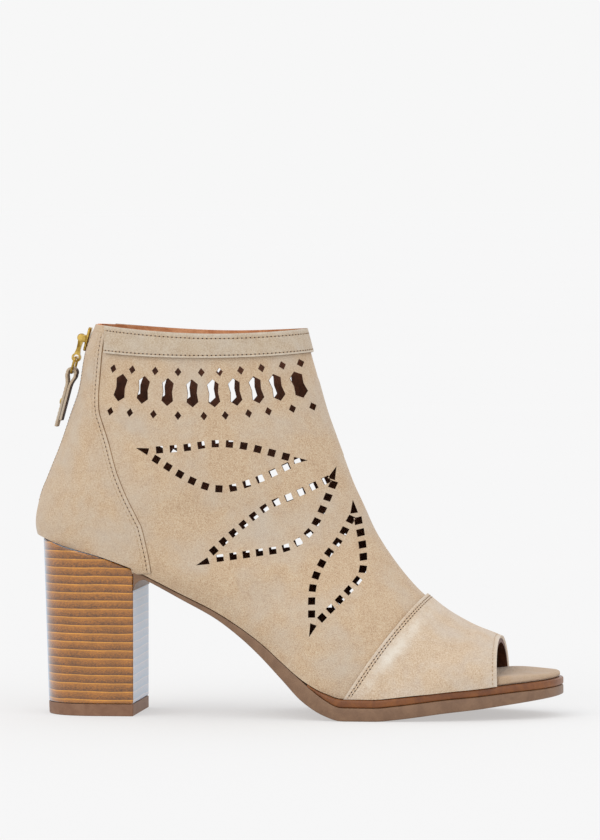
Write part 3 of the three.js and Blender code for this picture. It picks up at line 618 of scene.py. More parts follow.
def turned(outline, centre, angle):
    # Outline turned about its own middle, then moved to a centre
    cos, sin = math.cos(angle), math.sin(angle)
    return np.asarray(outline) @ np.array([[cos, sin], [-sin, cos]]) + centre


def smoothLine(points, count):
    # Evenly spaced points and directions on a Catmull-Rom curve through the given ones
    points = np.asarray(points, float)
    t = np.linspace(0, len(points) - 1, 400)
    i = np.minimum(t.astype(int), len(points) - 2)
    w = (t - i)[:, None]
    p0, p1 = points[np.maximum(i - 1, 0)], points[i]
    p2, p3 = points[i + 1], points[np.minimum(i + 2, len(points) - 1)]
    a, b = (p2 - p0) / 2, (p3 - p1) / 2
    line = (2 * p1 - 2 * p2 + a + b) * w ** 3 + (3 * p2 - 3 * p1 - 2 * a - b) * w ** 2 + a * w + p1
    return evenly(line, count)


def evenly(line, count):
    # Points at equal distances along a line, with the direction of the line at each
    walk = np.concatenate([[0], np.cumsum(np.linalg.norm(np.diff(line, axis=0), axis=1))])
    at = np.linspace(0, walk[-1], count)
    spot = np.stack([np.interp(at, walk, line[:, k]) for k in range(line.shape[1])], -1)
    ahead = np.stack([np.interp(at + 0.3, walk, line[:, k]) for k in range(line.shape[1])], -1)
    behind = np.stack([np.interp(at - 0.3, walk, line[:, k]) for k in range(line.shape[1])], -1)
    step = ahead - behind
    return spot, step / np.linalg.norm(step, axis=1, keepdims=True)


def cutOutOutlines():
    # Outlines of all cut-outs of one side, in the side view. Those under the collar lean more towards each
    # end of their row, and the squares of a leaf turn with its side
    width, height = cutOuts["diamond"]
    diamond = [(width / 2, 0), (0, height / 2), (-width / 2, 0), (0, -height / 2)]
    size = cutOuts["slot"]
    shoulderZ = size["tall"] / 2 - size["shoulder"]
    slotHalf = [(size["waist"] / 2, 0), (size["wide"] / 2, shoulderZ), (0, size["tall"] / 2),
                (-size["wide"] / 2, shoulderZ)]
    slot = slotHalf + [(-x, -z) for x, z in slotHalf]
    s = cutOuts["square"] / 2
    square = [(s, -s), (s, s), (-s, s), (-s, -s)]
    outlines = []
    for places, row, shape in (
            ("slots", "slot", slot), ("upper", "upper", diamond), ("lower", "lower", diamond)):
        for at in cutOuts[places]:
            centre = sidePoint((at, between(cutOuts["rows"], row, at)))
            outlines.append(turned(shape, centre, (at - cutOuts["uprightAt"]) * cutOuts["lean"]))
    for leaf in cutOuts["leaves"]:
        for apex, foot in leaf["ends"]:
            apex, foot = sidePoint(apex), sidePoint(foot)
            inward = (foot - apex) / np.linalg.norm(foot - apex)
            across = np.array([-inward[1], inward[0]]) * s
            base = apex + inward * cutOuts["tip"]
            outlines.append(np.array([apex, base - across, base + across]))
        for count, places in leaf["sides"]:
            spots, ways = smoothLine(sidePoint(places), count)
            outlines += [turned(square, spot, math.atan2(way[1], way[0])) for spot, way in zip(spots, ways)]
    return outlines


zipSlot = dict(width=6.8, bottom=98.0, top=190, frontAt=0.25)
aside = boot["ballWidth"]
upper = lastTube("upper", 0, upperGrid["rows"], upperGrid["columns"], 0)
cut(upper, lastTube("inside", -boot["wall"], upperGrid["innerRows"], upperGrid["innerColumns"], 1))
cut(upper, prismObject("kept", [keptOutline()], -aside, aside, 1), "INTERSECT")
zipBackX, zipFrontX = stationX(upperCut["backAt"]), stationX(zipSlot["frontAt"])
zipBox = [(zipBackX, zipSlot["bottom"]), (zipFrontX, zipSlot["bottom"]), (zipFrontX, zipSlot["top"]),
          (zipBackX, zipSlot["top"])]
cut(upper, prismObject("slot", [zipBox], -zipSlot["width"] / 2, zipSlot["width"] / 2, 1))
holes = cutOutOutlines()
# The inner side has the same cut-outs, but for those next to the ridge
ridge = lastPoint(np.linspace(0, toeSection - 1, 200), 0)
middles = np.array([np.mean(outline, 0) for outline in holes])
fromRidge = np.interp(-middles[:, 1], -ridge[:, 2], ridge[:, 0]) - middles[:, 0]
innerHoles = [hole for hole, gap in zip(holes, fromRidge) if gap > cutOuts["ridgeGap"]]
cut(upper, prismObject("outerHoles", holes, -aside, -cutOuts["middleGap"]))
cut(upper, prismObject("innerHoles", innerHoles, cutOuts["middleGap"], aside))
upper.data.polygons.foreach_set("use_smooth", np.ones(len(upper.data.polygons), bool))
upper.data.set_sharp_from_angle(angle=math.radians(boot["sharpAngle"]))
finishPiece(upper, "suede", "boot", "upper")
print("upper made,", len(holes), "cut-outs outside and", len(innerHoles), "inside")


# Overlays: parts of the skin between two lines across the last and an edge on each side

def crossing(field, axis):
    # Where a field first falls below zero along its last axis, on a straight line between two points
    above = field > 0
    change = above[..., :-1] & ~above[..., 1:]
    first = np.argmax(change, -1)
    a = np.take_along_axis(field, first[..., None], -1)[..., 0]
    b = np.take_along_axis(field, first[..., None] + 1, -1)[..., 0]
    share = a / np.where(a == b, 1, a - b)
    found = axis[first] + share * (axis[first + 1] - axis[first])
    return np.where(change.any(-1), found, axis[-1])


def overlayGrid(start, finish, edge, fromU, toU, rows, columns, easing):
    # Parameters of a sheet of the last between the lines where start, finish and edge are zero. They settle
    # by turns: u from the lines along the last at this v, and v from the edge at this u
    uAxis, vAxis = np.linspace(fromU, toU, 260), np.linspace(0, np.pi, 420)
    down = (np.linspace(0, 1, rows) ** easing)[:, None]
    share = np.linspace(0, 1, columns)[None, :]
    halves = []
    for side in (-1, 1):
        table = lastPoint(uAxis[:, None], side * vAxis[None, :])
        startU = crossing(-start(table).T, uAxis)
        finishU = crossing(finish(table).T, uAxis)
        edgeV = crossing(edge(table), vAxis)
        v = np.broadcast_to(share * 1.5, (rows, columns)).copy()
        for _ in range(40):
            first, last = np.interp(v, vAxis, startU), np.interp(v, vAxis, finishU)
            u = first + (last - first) * down
            v = 0.5 * v + 0.5 * share * np.interp(u, uAxis, edgeV)
        halves.append((u, side * v))
    (innerU, innerV), (outerU, outerV) = halves
    u = np.concatenate([innerU[:, :0:-1], outerU], 1)
    v = np.concatenate([innerV[:, :0:-1], outerV], 1)
    return u, v


def walks(points, axis):
    # Distance walked along an axis of the grid from its start and from its end
    step = np.linalg.norm(np.diff(points, axis=axis), axis=-1)
    pad = [(1, 0), (0, 0)] if axis == 0 else [(0, 0), (1, 0)]
    walked = np.pad(np.cumsum(step, axis), pad)
    whole = walked[-1:] if axis == 0 else walked[:, -1:]
    return walked, whole - walked


def groove(distance, at, width, depth):
    # Furrow that a row of stitches pulls: minus a bell curve of the distance from it
    return -depth * np.exp(-((distance - at) / width) ** 2)


# Stitches

def surfaceAt(place, side):
    # Parameters of the last's point at each place of the side view: the nearest of a coarse table, then
    # Newton steps on both parameters
    flat = np.asarray(place, float)
    uTable, vTable = np.meshgrid(np.linspace(0, toeSection - 0.1, 130),
                                 side * np.linspace(0.05, np.pi - 0.03, 100), indexing="ij")
    table = lastPoint(uTable, vTable).reshape(-1, 3)[:, [0, 2]]
    nearest = ((table[None] - flat[:, None]) ** 2).sum(-1).argmin(1)
    u, v = uTable.ravel()[nearest], vTable.ravel()[nearest]
    for _ in range(10):
        miss = flat - lastPoint(u, v)[:, [0, 2]]
        du = (lastPoint(u + 1e-3, v) - lastPoint(u - 1e-3, v))[:, [0, 2]] / 2e-3
        dv = (lastPoint(u, v + 1e-3) - lastPoint(u, v - 1e-3))[:, [0, 2]] / 2e-3
        area = du[:, 0] * dv[:, 1] - du[:, 1] * dv[:, 0]
        stepU = np.clip((miss[:, 0] * dv[:, 1] - miss[:, 1] * dv[:, 0]) / area, -0.3, 0.3)
        stepV = np.clip((du[:, 0] * miss[:, 1] - du[:, 1] * miss[:, 0]) / area, -0.1, 0.1)
        u, v = np.clip(u + stepU, 0, toeSection), v + stepV
    return u, v


def besideLine(line, gap):
    # The line in the side view moved sideways by a gap, towards the toe where the line runs down
    spot, way = evenly(line, len(line))
    return spot + np.stack([-way[:, 1], way[:, 0]], -1) * gap


def stitchPlaces(points, normals, pitch, trim=0.0):
    # Middles of the stitches along a line of points, with the way along the line and the way out
    walk = np.concatenate([[0], np.cumsum(np.linalg.norm(np.diff(points, axis=0), axis=1))])
    at = np.arange(trim + pitch / 2, walk[-1] - trim, pitch)

    def pick(values, where):
        # Values of the line's points at distances walked along it
        return np.stack([np.interp(where, walk, values[:, k]) for k in range(3)], -1)

    way = pick(points, at + 0.5) - pick(points, at - 0.5)
    way = way / np.linalg.norm(way, axis=1, keepdims=True)
    out = pick(normals, at)
    out = out / np.linalg.norm(out, axis=1, keepdims=True)
    return np.stack([pick(points, at), way, out], 1)


def beads(name, places, half, lift, material, power=2.0):
    # A small rounded body at each place, with half sizes along, across and out of the surface: five rings
    # of six points between two poles, on a superellipse along its length
    t = np.linspace(-1, 1, 7)[1:-1, None]
    turn = np.linspace(0, 2 * np.pi, 6, endpoint=False)[None, :]
    thick = (1 - np.abs(t) ** power) ** (1 / power)
    rings = np.stack(np.broadcast_arrays(t, thick * np.cos(turn), thick * np.sin(turn)), -1).reshape(-1, 3)
    shape = np.concatenate([[[-1, 0, 0]], rings, [[1, 0, 0]]]) * np.asarray(half)
    faces = np.array(gridFaces(5, 6, closeColumns=True)) + 1
    j = np.arange(6)
    start = np.stack([np.zeros(6, int), (j + 1) % 6 + 1, j + 1], -1)
    end = np.stack([np.full(6, 31), 25 + j, 25 + (j + 1) % 6], -1)  # 32 points: pole, 5 rings of 6, pole
    across = np.cross(places[:, 2], places[:, 1])
    axes = np.stack([places[:, 1], across, places[:, 2]], 1)
    points = places[:, None, 0] + shape @ axes + (places[:, None, 2] * lift)
    step = (np.arange(len(places)) * 32)[:, None, None]
    every = (faces[None] + step).reshape(-1, 4).tolist()
    every += (start[None] + step).reshape(-1, 3).tolist() + (end[None] + step).reshape(-1, 3).tolist()
    piece = meshObject(name, points, every, [material])
    faceOut(piece)
    return piece


# Half sizes of a stitch and of a needle hole, and the distance from one stitch to the next
stitchLook = dict(pitch=1.95, thread=(0.62, 0.2, 0.16), hole=(0.42, 0.315), holeDepth=0.1, holeLift=0.02)


def sew(name, rows, body="boot", holes=True, wide=1.0):
    # Threads along each row, with a dark mark of painted shade for a needle hole between each two
    pitch = stitchLook["pitch"]
    places = np.concatenate([stitchPlaces(points, normals, pitch) for points, normals in rows])
    finishPiece(beads(name, places, stitchLook["thread"], 0, thread, 3.0), "suede", body)
    if holes:
        halfway = [stitchPlaces(points, normals, pitch, pitch / 2) for points, normals in rows]
        size = (stitchLook["hole"][0] * wide, stitchLook["hole"][1] * wide, stitchLook["holeDepth"])
        marks = beads(name + "_hole_shades", np.concatenate(halfway), size, stitchLook["holeLift"], needleHoleShade)
        finishPiece(marks, "suede", body)


def rowOnGrid(points, normals, walked, distance):
    # Where each column of a grid has been walked for a distance: a line across the grid
    first = np.clip((walked < distance).sum(0) - 1, 0, len(walked) - 2)
    j = np.arange(walked.shape[1])
    low, high = walked[first, j], walked[first + 1, j]
    t = ((distance - low) / (high - low))[:, None]
    return points[first, j] * (1 - t) + points[first + 1, j] * t, normals[first, j]


capSeam = dict(at=[.595, .643, .681, .716, .748, .79], up=[.04, .14, .213, .273, .321, .385])
capLook = dict(
    rows=120, columns=70, fromSection=10.4, stitchRows=(1.5, 2.6), rowWidth=0.35, rowDepth=0.08,
    openingStitch=2.0, openingWidth=0.4, openingDepth=0.18, foldWidth=0.9, streakAt=6.5, streakWidth=3.2,
    streakHeight=30, streakTall=16, bevel=0.3, press=0.22,
)


def capSeamX(z):
    # Seam of the toe cap in the side view, along a smooth curve through its points
    table = dict(at=capSeam["up"], x=capSeam["at"])
    share = np.clip(z / boot["shaftHeight"], capSeam["up"][0], capSeam["up"][-1])
    return stationX(between(table, "x", share))


def openingX(z):
    # Edge of the toe opening in the side view, a line that leans back
    openX = stationX(boot["toeOpeningAt"])
    rise = (z - featherZ(openX)) / (boot["shaftHeight"] * boot["toeOpeningUp"])
    return openX - boot["toeOpeningLean"] * rise


capU, capV = overlayGrid(
    lambda p: p[..., 0] - capSeamX(p[..., 2]),
    lambda p: openingX(p[..., 2]) - p[..., 0],
    lambda p: p[..., 2] - featherZ(p[..., 0]) - boot["seam"],
    capLook["fromSection"], toeSection, capLook["rows"], capLook["columns"], 1.5)
base = lastPoint(capU, capV)
fromSeam, fromOpening = walks(base, 0)
capLift = boot["seam"] + boot["overlay"]
for row in capLook["stitchRows"]:
    capLift = capLift + groove(fromSeam, row, capLook["rowWidth"], capLook["rowDepth"])
capLift = capLift + groove(
    fromOpening, capLook["openingStitch"], capLook["openingWidth"], capLook["openingDepth"])
capPoints = skin(capU, capV, capLift)
toeCap = meshObject("toe_cap_suede", capPoints, gridFaces(*capU.shape), [capSuede, lining])
# Paler on the folded edges, and in a streak in front of the seam
middle = np.exp(-((base[..., 2] - capLook["streakHeight"]) / capLook["streakTall"]) ** 2)
streak = 0.95 * middle * np.exp(-((fromSeam - capLook["streakAt"]) / capLook["streakWidth"]) ** 2)
seamFold = np.exp(-(fromSeam / capLook["foldWidth"]) ** 2)
openingFold = np.exp(-(fromOpening / capLook["foldWidth"]) ** 2)
setWorn(toeCap, streak + 0.35 * seamFold + 0.5 * openingFold)
solidify(toeCap, boot["overlay"] + capLook["press"], 1, 0)
bevel(toeCap, capLook["bevel"], 2, 50)
finishPiece(toeCap, "suede", "boot", "toe_cap")
capNormals = lastNormal(capU, capV)
openingRow = rowOnGrid(capPoints[::-1], capNormals[::-1], fromOpening[::-1], capLook["openingStitch"])
sew("cap_stitches", [rowOnGrid(capPoints, capNormals, fromSeam, row) for row in capLook["stitchRows"]])
sew("opening_stitches", [openingRow], holes=False)
print("toe cap made")

collarLook = dict(
    rows=40, columns=120, toSection=2.4, topStitch=2.3, bottomStitch=1.2, rowWidth=0.4, rowDepth=0.08,
    foldWidth=0.9, edgeWidth=1.0, bevel=0.3, press=0.22,
)
startX = stationX(boot["bandStartAt"])
bandU, bandV = overlayGrid(
    lambda p: collarTopZ(p[..., 0]) - p[..., 2],
    lambda p: p[..., 2] - collarLineZ(p[..., 0]) + boot["bandHeight"],
    lambda p: p[..., 0] - startX,
    0, collarLook["toSection"], collarLook["rows"], collarLook["columns"], 1.0)
base = lastPoint(bandU, bandV)
fromTop, fromBottom = walks(base, 0)
bandLift = boot["seam"] + boot["overlay"]
for walked, row in ((fromTop, collarLook["topStitch"]), (fromBottom, collarLook["bottomStitch"])):
    bandLift = bandLift + groove(walked, row, collarLook["rowWidth"], collarLook["rowDepth"])
bandPoints = skin(bandU, bandV, bandLift)
collarBand = meshObject("collar_band_suede", bandPoints, gridFaces(*bandU.shape), [bandSuede, shadedSuedeEdge])
topFold = np.exp(-(fromTop / collarLook["foldWidth"]) ** 2)
bottomFold = np.exp(-(fromBottom / collarLook["edgeWidth"]) ** 2)
setWorn(collarBand, 0.4 * topFold + 0.35 * bottomFold + 0.1)
# The band's rim takes the dark cut edge: painted shade along its edges and under its lower edge
solidify(collarBand, boot["overlay"] + collarLook["press"], 0, 1)
bevel(collarBand, collarLook["bevel"], 2, 50)
finishPiece(collarBand, "suede", "boot", "collar_band")
bandNormals = lastNormal(bandU, bandV)
sew("collar_stitches", [
    rowOnGrid(bandPoints, bandNormals, fromTop, collarLook["topStitch"]),
    rowOnGrid(bandPoints[::-1], bandNormals[::-1], fromBottom[::-1], collarLook["bottomStitch"])])
print("collar band made")


# Raised strips: a line in the side view with a profile across it, whose ends sink into the suede

# Distances across a strip are in mm, towards the toe when above zero, and heights are above the last
backSeam = dict(
    line=[(.1403, .985), (.1348, .9386), (.1304, .869), (.1285, .8252), (.1309, .7843), (.1397, .7486),
          (.1504, .7079), (.1632, .6467), (.1704, .6187), (.1854, .5728), (.2101, .5061), (.2166, .4855),
          (.2283, .4159), (.233, .372)],
    across=[-9, -7, -5, -4.2, -3.6, -3.3, -3, -2.4, -2, -1.7, -1.4, -1, -.6, -.3, -.1, .1, .25],
    height=[-.15, .04, .28, .4, .36, .24, .36, .5, .46, .32, .46, .6, .62, .56, .4, .1, -.25],
    outerRow=-1.7, outerLift=0.33, innerRow=-3.3, innerLift=0.22, thickness=0.35,
)


def strandOn(line, gap, lift, side, count=150):
    # A smooth curve of the side view, moved sideways by a gap and laid on the last at a height
    spots, _ = smoothLine(sidePoint(line), count)
    u, v = surfaceAt(besideLine(spots, gap), side)
    return skin(u, v, lift), lastNormal(u, v)


def seamStrip(name, look, side):
    # One strand for each place across the strip, joined to a sheet. Its last two columns are the cut edge,
    # dark with painted shade of the step's shadow
    places = zip(look["across"], look["height"])
    points = np.stack([strandOn(look["line"], gap, lift, side)[0] for gap, lift in places], 1)
    faces = [face[::-side] for face in gridFaces(*points.shape[:2])]
    piece = meshObject(name, points, faces, [suede, shadedSuedeEdge])
    columns = len(look["across"]) - 1
    edge = np.arange(len(faces)) % columns >= columns - 2
    piece.data.polygons.foreach_set("material_index", edge.astype(int))
    rubbed = 0.15 * np.exp(-((np.asarray(look["across"]) + 0.6) / 0.5) ** 2)
    setWorn(piece, np.broadcast_to(rubbed, points.shape[:2]))
    solidify(piece, look["thickness"])
    return piece


for side, name in ((1, "outer"), (-1, "inner")):
    finishPiece(seamStrip("back_seam_" + name, backSeam, side), "suede", "boot")
    outerRow = strandOn(backSeam["line"], backSeam["outerRow"], backSeam["outerLift"], side)
    innerRow = strandOn(backSeam["line"], backSeam["innerRow"], backSeam["innerLift"], side)
    sew("back_seam_stitches_" + name, [outerRow], wide=1.25)
    sew("back_panel_stitches_" + name, [innerRow], holes=False)

# Closed seam down the front ridge, from the collar band to the instep, where it ends in a small nick
frontSeam = dict(
    top=0.874, bottom=0.668, steps=90, fade=0.04, nick=0.985, aside=0.6, sunk=0.2, thickness=0.3,
    across=[-2.6, -1.6, -.9, -.45, -.2, 0, .2, .45, .9, 1.6, 2.6],
    height=[-.2, .03, .14, .22, .14, -.1, .14, .22, .14, .03, -.2],
)
seamZ = np.linspace(frontSeam["top"], frontSeam["bottom"], frontSeam["steps"]) * boot["shaftHeight"]
ridgeU = np.linspace(0, 8, 400)
seamU = np.interp(-seamZ, -lastPoint(ridgeU, 0)[:, 2], ridgeU)[:, None]
seamHalf = between(lastShape, "cuff", seamU) * boot["collarWidth"] / 2
seamHalf = seamHalf + between(lastShape, "medial", seamU) * boot["ballWidth"] / 2
seamAcross = np.asarray(frontSeam["across"])[None, :]
seamV = np.arcsin(np.clip(-(seamAcross + frontSeam["aside"]) / seamHalf, -1, 1))
down = np.linspace(0, 1, frontSeam["steps"])[:, None]
ends = smoothStep(0, frontSeam["fade"], down) * smoothStep(1, frontSeam["nick"], down)
seamLift = np.asarray(frontSeam["height"])[None, :] * ends - frontSeam["sunk"] * (1 - ends)
seamU, seamV, seamLift = np.broadcast_arrays(seamU, seamV, seamLift)
seamFaces = [face[::-1] for face in gridFaces(*seamU.shape)]
frontStrip = meshObject("front_seam", skin(seamU, seamV, seamLift), seamFaces, [suede])
solidify(frontStrip, frontSeam["thickness"])
setWorn(frontStrip, np.broadcast_to(0.25 * np.exp(-(seamAcross / 0.9) ** 2), seamU.shape))
finishPiece(frontStrip, "suede", "boot")
print("seams made")


# Sole parts: layers with an outline seen from above and a profile round their edge

def soleLoop(fromX, margin, steps):
    # Both sides of the sole's outline, set in by a margin, from a station to the tip
    start = shareOf(fromX)
    share = start + (1 - start) * (1 - np.cos(np.linspace(0, np.pi, steps))) / 2
    half = boot["ballWidth"] / 2 - margin
    x = stationX(share) - margin * (share - start) / (1 - start)
    return x, -between(soleOutline, "lateral", share) * half, between(soleOutline, "medial", share) * half


def layerObject(name, outline, profile, bottom, top, materials):
    # A flat layer between two surfaces. Its profile goes round the edge, in pairs of a margin from the
    # outline and a height above the bottom or, when negative, below the top. The last pair lies on the top
    walls = []
    for step, (margin, height) in enumerate(profile):
        x, outerY, innerY = outline(margin)
        onTop = height < 0 or step == len(profile) - 1
        z = top(x) + height if onTop else bottom(x) + height
        walls.append(np.stack([np.concatenate([x, x[::-1]]), np.concatenate([outerY, innerY[::-1]]),
                               np.concatenate([z, z[::-1]])], -1))
    walls = np.stack(walls)
    rows, columns = walls.shape[:2]
    faces = gridFaces(rows, columns, closeColumns=True)
    half = columns // 2
    i = np.arange(half - 1)
    lid = np.stack([i, i + 1, columns - 2 - i, columns - 1 - i], -1)
    faces += lid[:, ::-1].tolist()
    faces += (lid + (rows - 1) * columns).tolist()
    piece = meshObject(name, walls, faces, materials)
    tidy(piece)
    return piece


def tidy(piece):
    # Merges doubles, then turns the faces outwards
    work = bmesh.new()
    work.from_mesh(piece.data)
    bmesh.ops.remove_doubles(work, verts=work.verts, dist=1e-6)
    bmesh.ops.dissolve_degenerate(work, edges=work.edges, dist=1e-6)
    bmesh.ops.recalc_face_normals(work, faces=work.faces)
    work.to_mesh(piece.data)
    work.free()
    piece.data.set_sharp_from_angle(angle=math.radians(boot["sharpAngle"]))


def roundEdge(radius, steps=4):
    # Quarter turn from the underside into the wall, then from the wall onto the top
    angle = np.linspace(0, np.pi / 2, steps)
    low = [(radius * (1 - math.sin(a)), radius * (1 - math.cos(a))) for a in angle]
    high = [(radius * (1 - math.cos(a)), -radius * (1 - math.sin(a))) for a in angle]
    return low + high


# The heel's ring is widest a little behind its front face, whose corners stand in a little
heel = dict(
    length=41, width=52, backLean=2.8, sideLean=0.6, lift=5.5, fillet=5, bevel=0.7, liftBevel=0.4,
    widestAt=0.08, roundness=0.86, frontWidth=0.985, gap=0.05, ringSpan=60, rings=40,
)
breastX = heel["length"] / 2
solePart = dict(weltFrom=0.505, weltFull=0.6, weltStart=0.3, soleRadius=0.8, weltRadius=0.9, weltGap=0.08)


def weltShare(x):
    # The welt thins out to nothing at the waist
    return smoothStep(solePart["weltFrom"], solePart["weltFull"], shareOf(x))


def layerTop(x):
    # Top of the outsole: the feather line less the welt
    return featherZ(x) - weltShare(x) * (boot["weltEdge"] + boot["seam"])


def outsoleBottom(x):
    # Underside, with a round hollow where it turns down into the front of the heel
    radius = heel["fillet"]
    hollowX = breastX + boot["seam"] + radius
    hollow = np.sqrt(np.maximum(radius ** 2 - np.minimum(x - hollowX, 0) ** 2, 0))
    return np.where(x < hollowX, undersideZ(hollowX) - radius + hollow, undersideZ(x))


outsole = layerObject(
    "outsole_leather", lambda margin: soleLoop(breastX + boot["seam"], margin, 150),
    roundEdge(solePart["soleRadius"]), outsoleBottom, layerTop, [soleLeather])
finishPiece(outsole, "outsole", "boot", "outsole")
weltSpan = solePart["weltFull"] - solePart["weltFrom"]
weltX = stationX(solePart["weltFrom"] + weltSpan * solePart["weltStart"])
welt = layerObject(
    "welt_leather", lambda margin: soleLoop(weltX, margin, 130),
    roundEdge(solePart["weltRadius"]), lambda x: layerTop(x) + solePart["weltGap"], featherZ, [weltLeather])
finishPiece(welt, "welt", "boot", "welt")
print("sole made")

insoleLayer = dict(thickness=4.2, taper=0.4, margin=1.5, radius=1.3, gap=0.1, heelGap=0.4, fromSection=7.3)


def featherWall(side):
    # x and y of the upper's inner face where it meets the sole, from the heel to the toe opening
    uAxis = np.linspace(insoleLayer["fromSection"], toeSection, 200)
    vAxis = np.linspace(0, np.pi, 700)
    table = lastPoint(uAxis[:, None], side * vAxis[None, :])
    edgeV = crossing(table[..., 2] - featherZ(table[..., 0]) - boot["seam"] - 1, vAxis)
    clearance = boot["wall"] + boot["seam"]
    line = lastPoint(uAxis, side * edgeV) - lastNormal(uAxis, side * edgeV) * clearance
    order = np.argsort(line[:, 0])
    return line[order, 0], np.abs(line[order, 1])


outerWall, innerWall = featherWall(1), featherWall(-1)


def insoleLoop(margin, steps=170):
    # Follows the upper's inner faces inside the boot, and the sole's outline in front of the toe opening
    openX = stationX(boot["toeOpeningAt"])
    tipX = stationX(1) - insoleLayer["margin"]
    heelX = min(outerWall[0][0], innerWall[0][0]) + insoleLayer["heelGap"]
    spread = (1 - np.cos(np.linspace(0, np.pi, steps))) / 2
    x = heelX + (tipX - heelX) * spread
    soleX, soleOuter, soleInner = soleLoop(openX, insoleLayer["margin"], 200)
    outer = np.where(x < openX, np.interp(x, *outerWall), -np.interp(x, soleX, soleOuter))
    inner = np.where(x < openX, np.interp(x, *innerWall), np.interp(x, soleX, soleInner))
    middle, half = (inner - outer) / 2, (inner + outer) / 2
    shrink = np.maximum(half - margin, 0) / np.maximum(half, 1e-6)
    centre = (tipX + heelX) / 2
    x = centre + (x - centre) * (1 - 2 * margin / (tipX - heelX))
    return x, middle - half * shrink, middle + half * shrink


def insoleTop(x):
    # Feather line plus a thickness that thins out from the toe opening to the tip
    openX, tipX = stationX(boot["toeOpeningAt"]), stationX(1) - insoleLayer["margin"]
    thick = insoleLayer["thickness"] * (1 - insoleLayer["taper"] * smoothStep(openX, tipX, x))
    return featherZ(x) + boot["seam"] + thick


insole = layerObject(
    "insole_suede", insoleLoop, roundEdge(insoleLayer["radius"], 6),
    lambda x: featherZ(x) + insoleLayer["gap"], insoleTop, [insoleSuede])
finishPiece(insole, "suede", "boot", "insole")
print("insole made")


def heelRing(z, steps=64):
    # Round at the back, on a superellipse, straight at the sides and flat in front. The back leans out
    rise = z / boot["heelHeight"]
    backX = -heel["length"] / 2 - heel["backLean"] * rise
    widestX = heel["length"] * heel["widestAt"]
    half = heel["width"] / 2 + rise * heel["sideLean"]
    angle = np.linspace(-np.pi / 2, np.pi / 2, steps)
    x = widestX - (widestX - backX) * np.abs(np.cos(angle)) ** heel["roundness"]
    y = -np.sign(np.sin(angle)) * np.abs(np.sin(angle)) ** heel["roundness"] * half
    t = np.linspace(0, 1, 6)[:-1]
    sideX = breastX + (widestX - breastX) * t
    sideY = half * (heel["frontWidth"] + (1 - heel["frontWidth"]) * t)
    frontHalf = half * heel["frontWidth"]
    frontY = np.linspace(-frontHalf, frontHalf, 16)[1:-1]
    allX = np.concatenate([sideX, x, sideX[::-1], np.full(len(frontY), breastX)])
    allY = np.concatenate([sideY, y, -sideY[::-1], frontY])
    return allX, allY


def heelRings(levels, top=None):
    # Levels are heights, or under a top surface they are shares of the way from the lift up to it
    rings = []
    for level in levels:
        if top is None:
            x, y = heelRing(level)
            z = np.full(len(x), level)
        else:
            x, y = heelRing(heel["lift"] + level * heel["ringSpan"])
            bottom = heel["lift"] + heel["gap"]
            z = bottom + level * (top(x) - bottom)
        rings.append(np.stack([x, y, z], -1))
    return np.stack(rings)


blockRings = heelRings(np.linspace(0, 1, heel["rings"]), featherZ)
heelBlock = tubeObject("heel_stack_block", blockRings, [stack], boot["sharpAngle"])
bevel(heelBlock, heel["bevel"], 3, 45)
finishPiece(heelBlock, "heel_stack", "boot", "heel_block")
liftRings = heelRings([0, heel["lift"] * 0.5, heel["lift"] - 0.1])
heelLift = tubeObject("heel_lift_rubber", liftRings, [liftRubber], boot["sharpAngle"])
bevel(heelLift, heel["liftBevel"], 2, 45)
finishPiece(heelLift, "top_lift", "boot", "heel_top_lift")
print("heel made")

# Zip: tape and teeth on the back of the last, then the slider and pull, made round the pin and put in place

tapeLook = dict(
    above=0.9, below=0.4, inset=0.05, sunk=0.45, dip=0.25, dipWidth=0.5, thickness=1.0,
    tooth=(0.42, 1.25, 0.5), pitch=1.35, toothAside=0.62, toothSunk=0.28, teethFrom=1.5, teethTop=161.5,
    stitchAside=1.9, stitchBelow=2.4, stitchLift=0.02,
)


def acrossBack(u, y):
    # Angle round the last at which its back stands this far to one side, from the superellipse there
    half = between(lastShape, "cuff", u) * boot["collarWidth"] / 2
    half = half + between(lastShape, "lateral", u) * boot["ballWidth"] / 2
    power = between(lastShape, "round", u)
    q = np.abs(y) / half
    return np.arctan2(q, -(1 - q ** power) ** (1 / power)) * np.where(y > 0, -1, 1)


def backStation(z):
    # Section whose back point stands at this height
    uAxis = np.linspace(0, 8, 400)
    height = lastPoint(uAxis, np.pi)[:, 2]
    return np.interp(-np.asarray(z), -height, uAxis)


tapeTop, tapeEnd = boot["shaftHeight"] + tapeLook["above"], zipSlot["bottom"] + tapeLook["below"]
tapeZ = np.linspace(tapeTop, tapeEnd, 70)[:, None]
tapeY = np.linspace(-1, 1, 15)[None, :] * (zipSlot["width"] / 2 - tapeLook["inset"])
tapeU, tapeY = np.broadcast_arrays(backStation(tapeZ), tapeY)
dip = tapeLook["dip"] * np.exp(-(tapeY / tapeLook["dipWidth"]) ** 2)
tapePoints = skin(tapeU, acrossBack(tapeU, tapeY), -tapeLook["sunk"] - dip)
zipTape = meshObject("zip_tape_cloth", tapePoints, gridFaces(*tapeU.shape), [tape])
solidify(zipTape, tapeLook["thickness"])
finishPiece(zipTape, "zip_tape", "boot", "zip_tape")

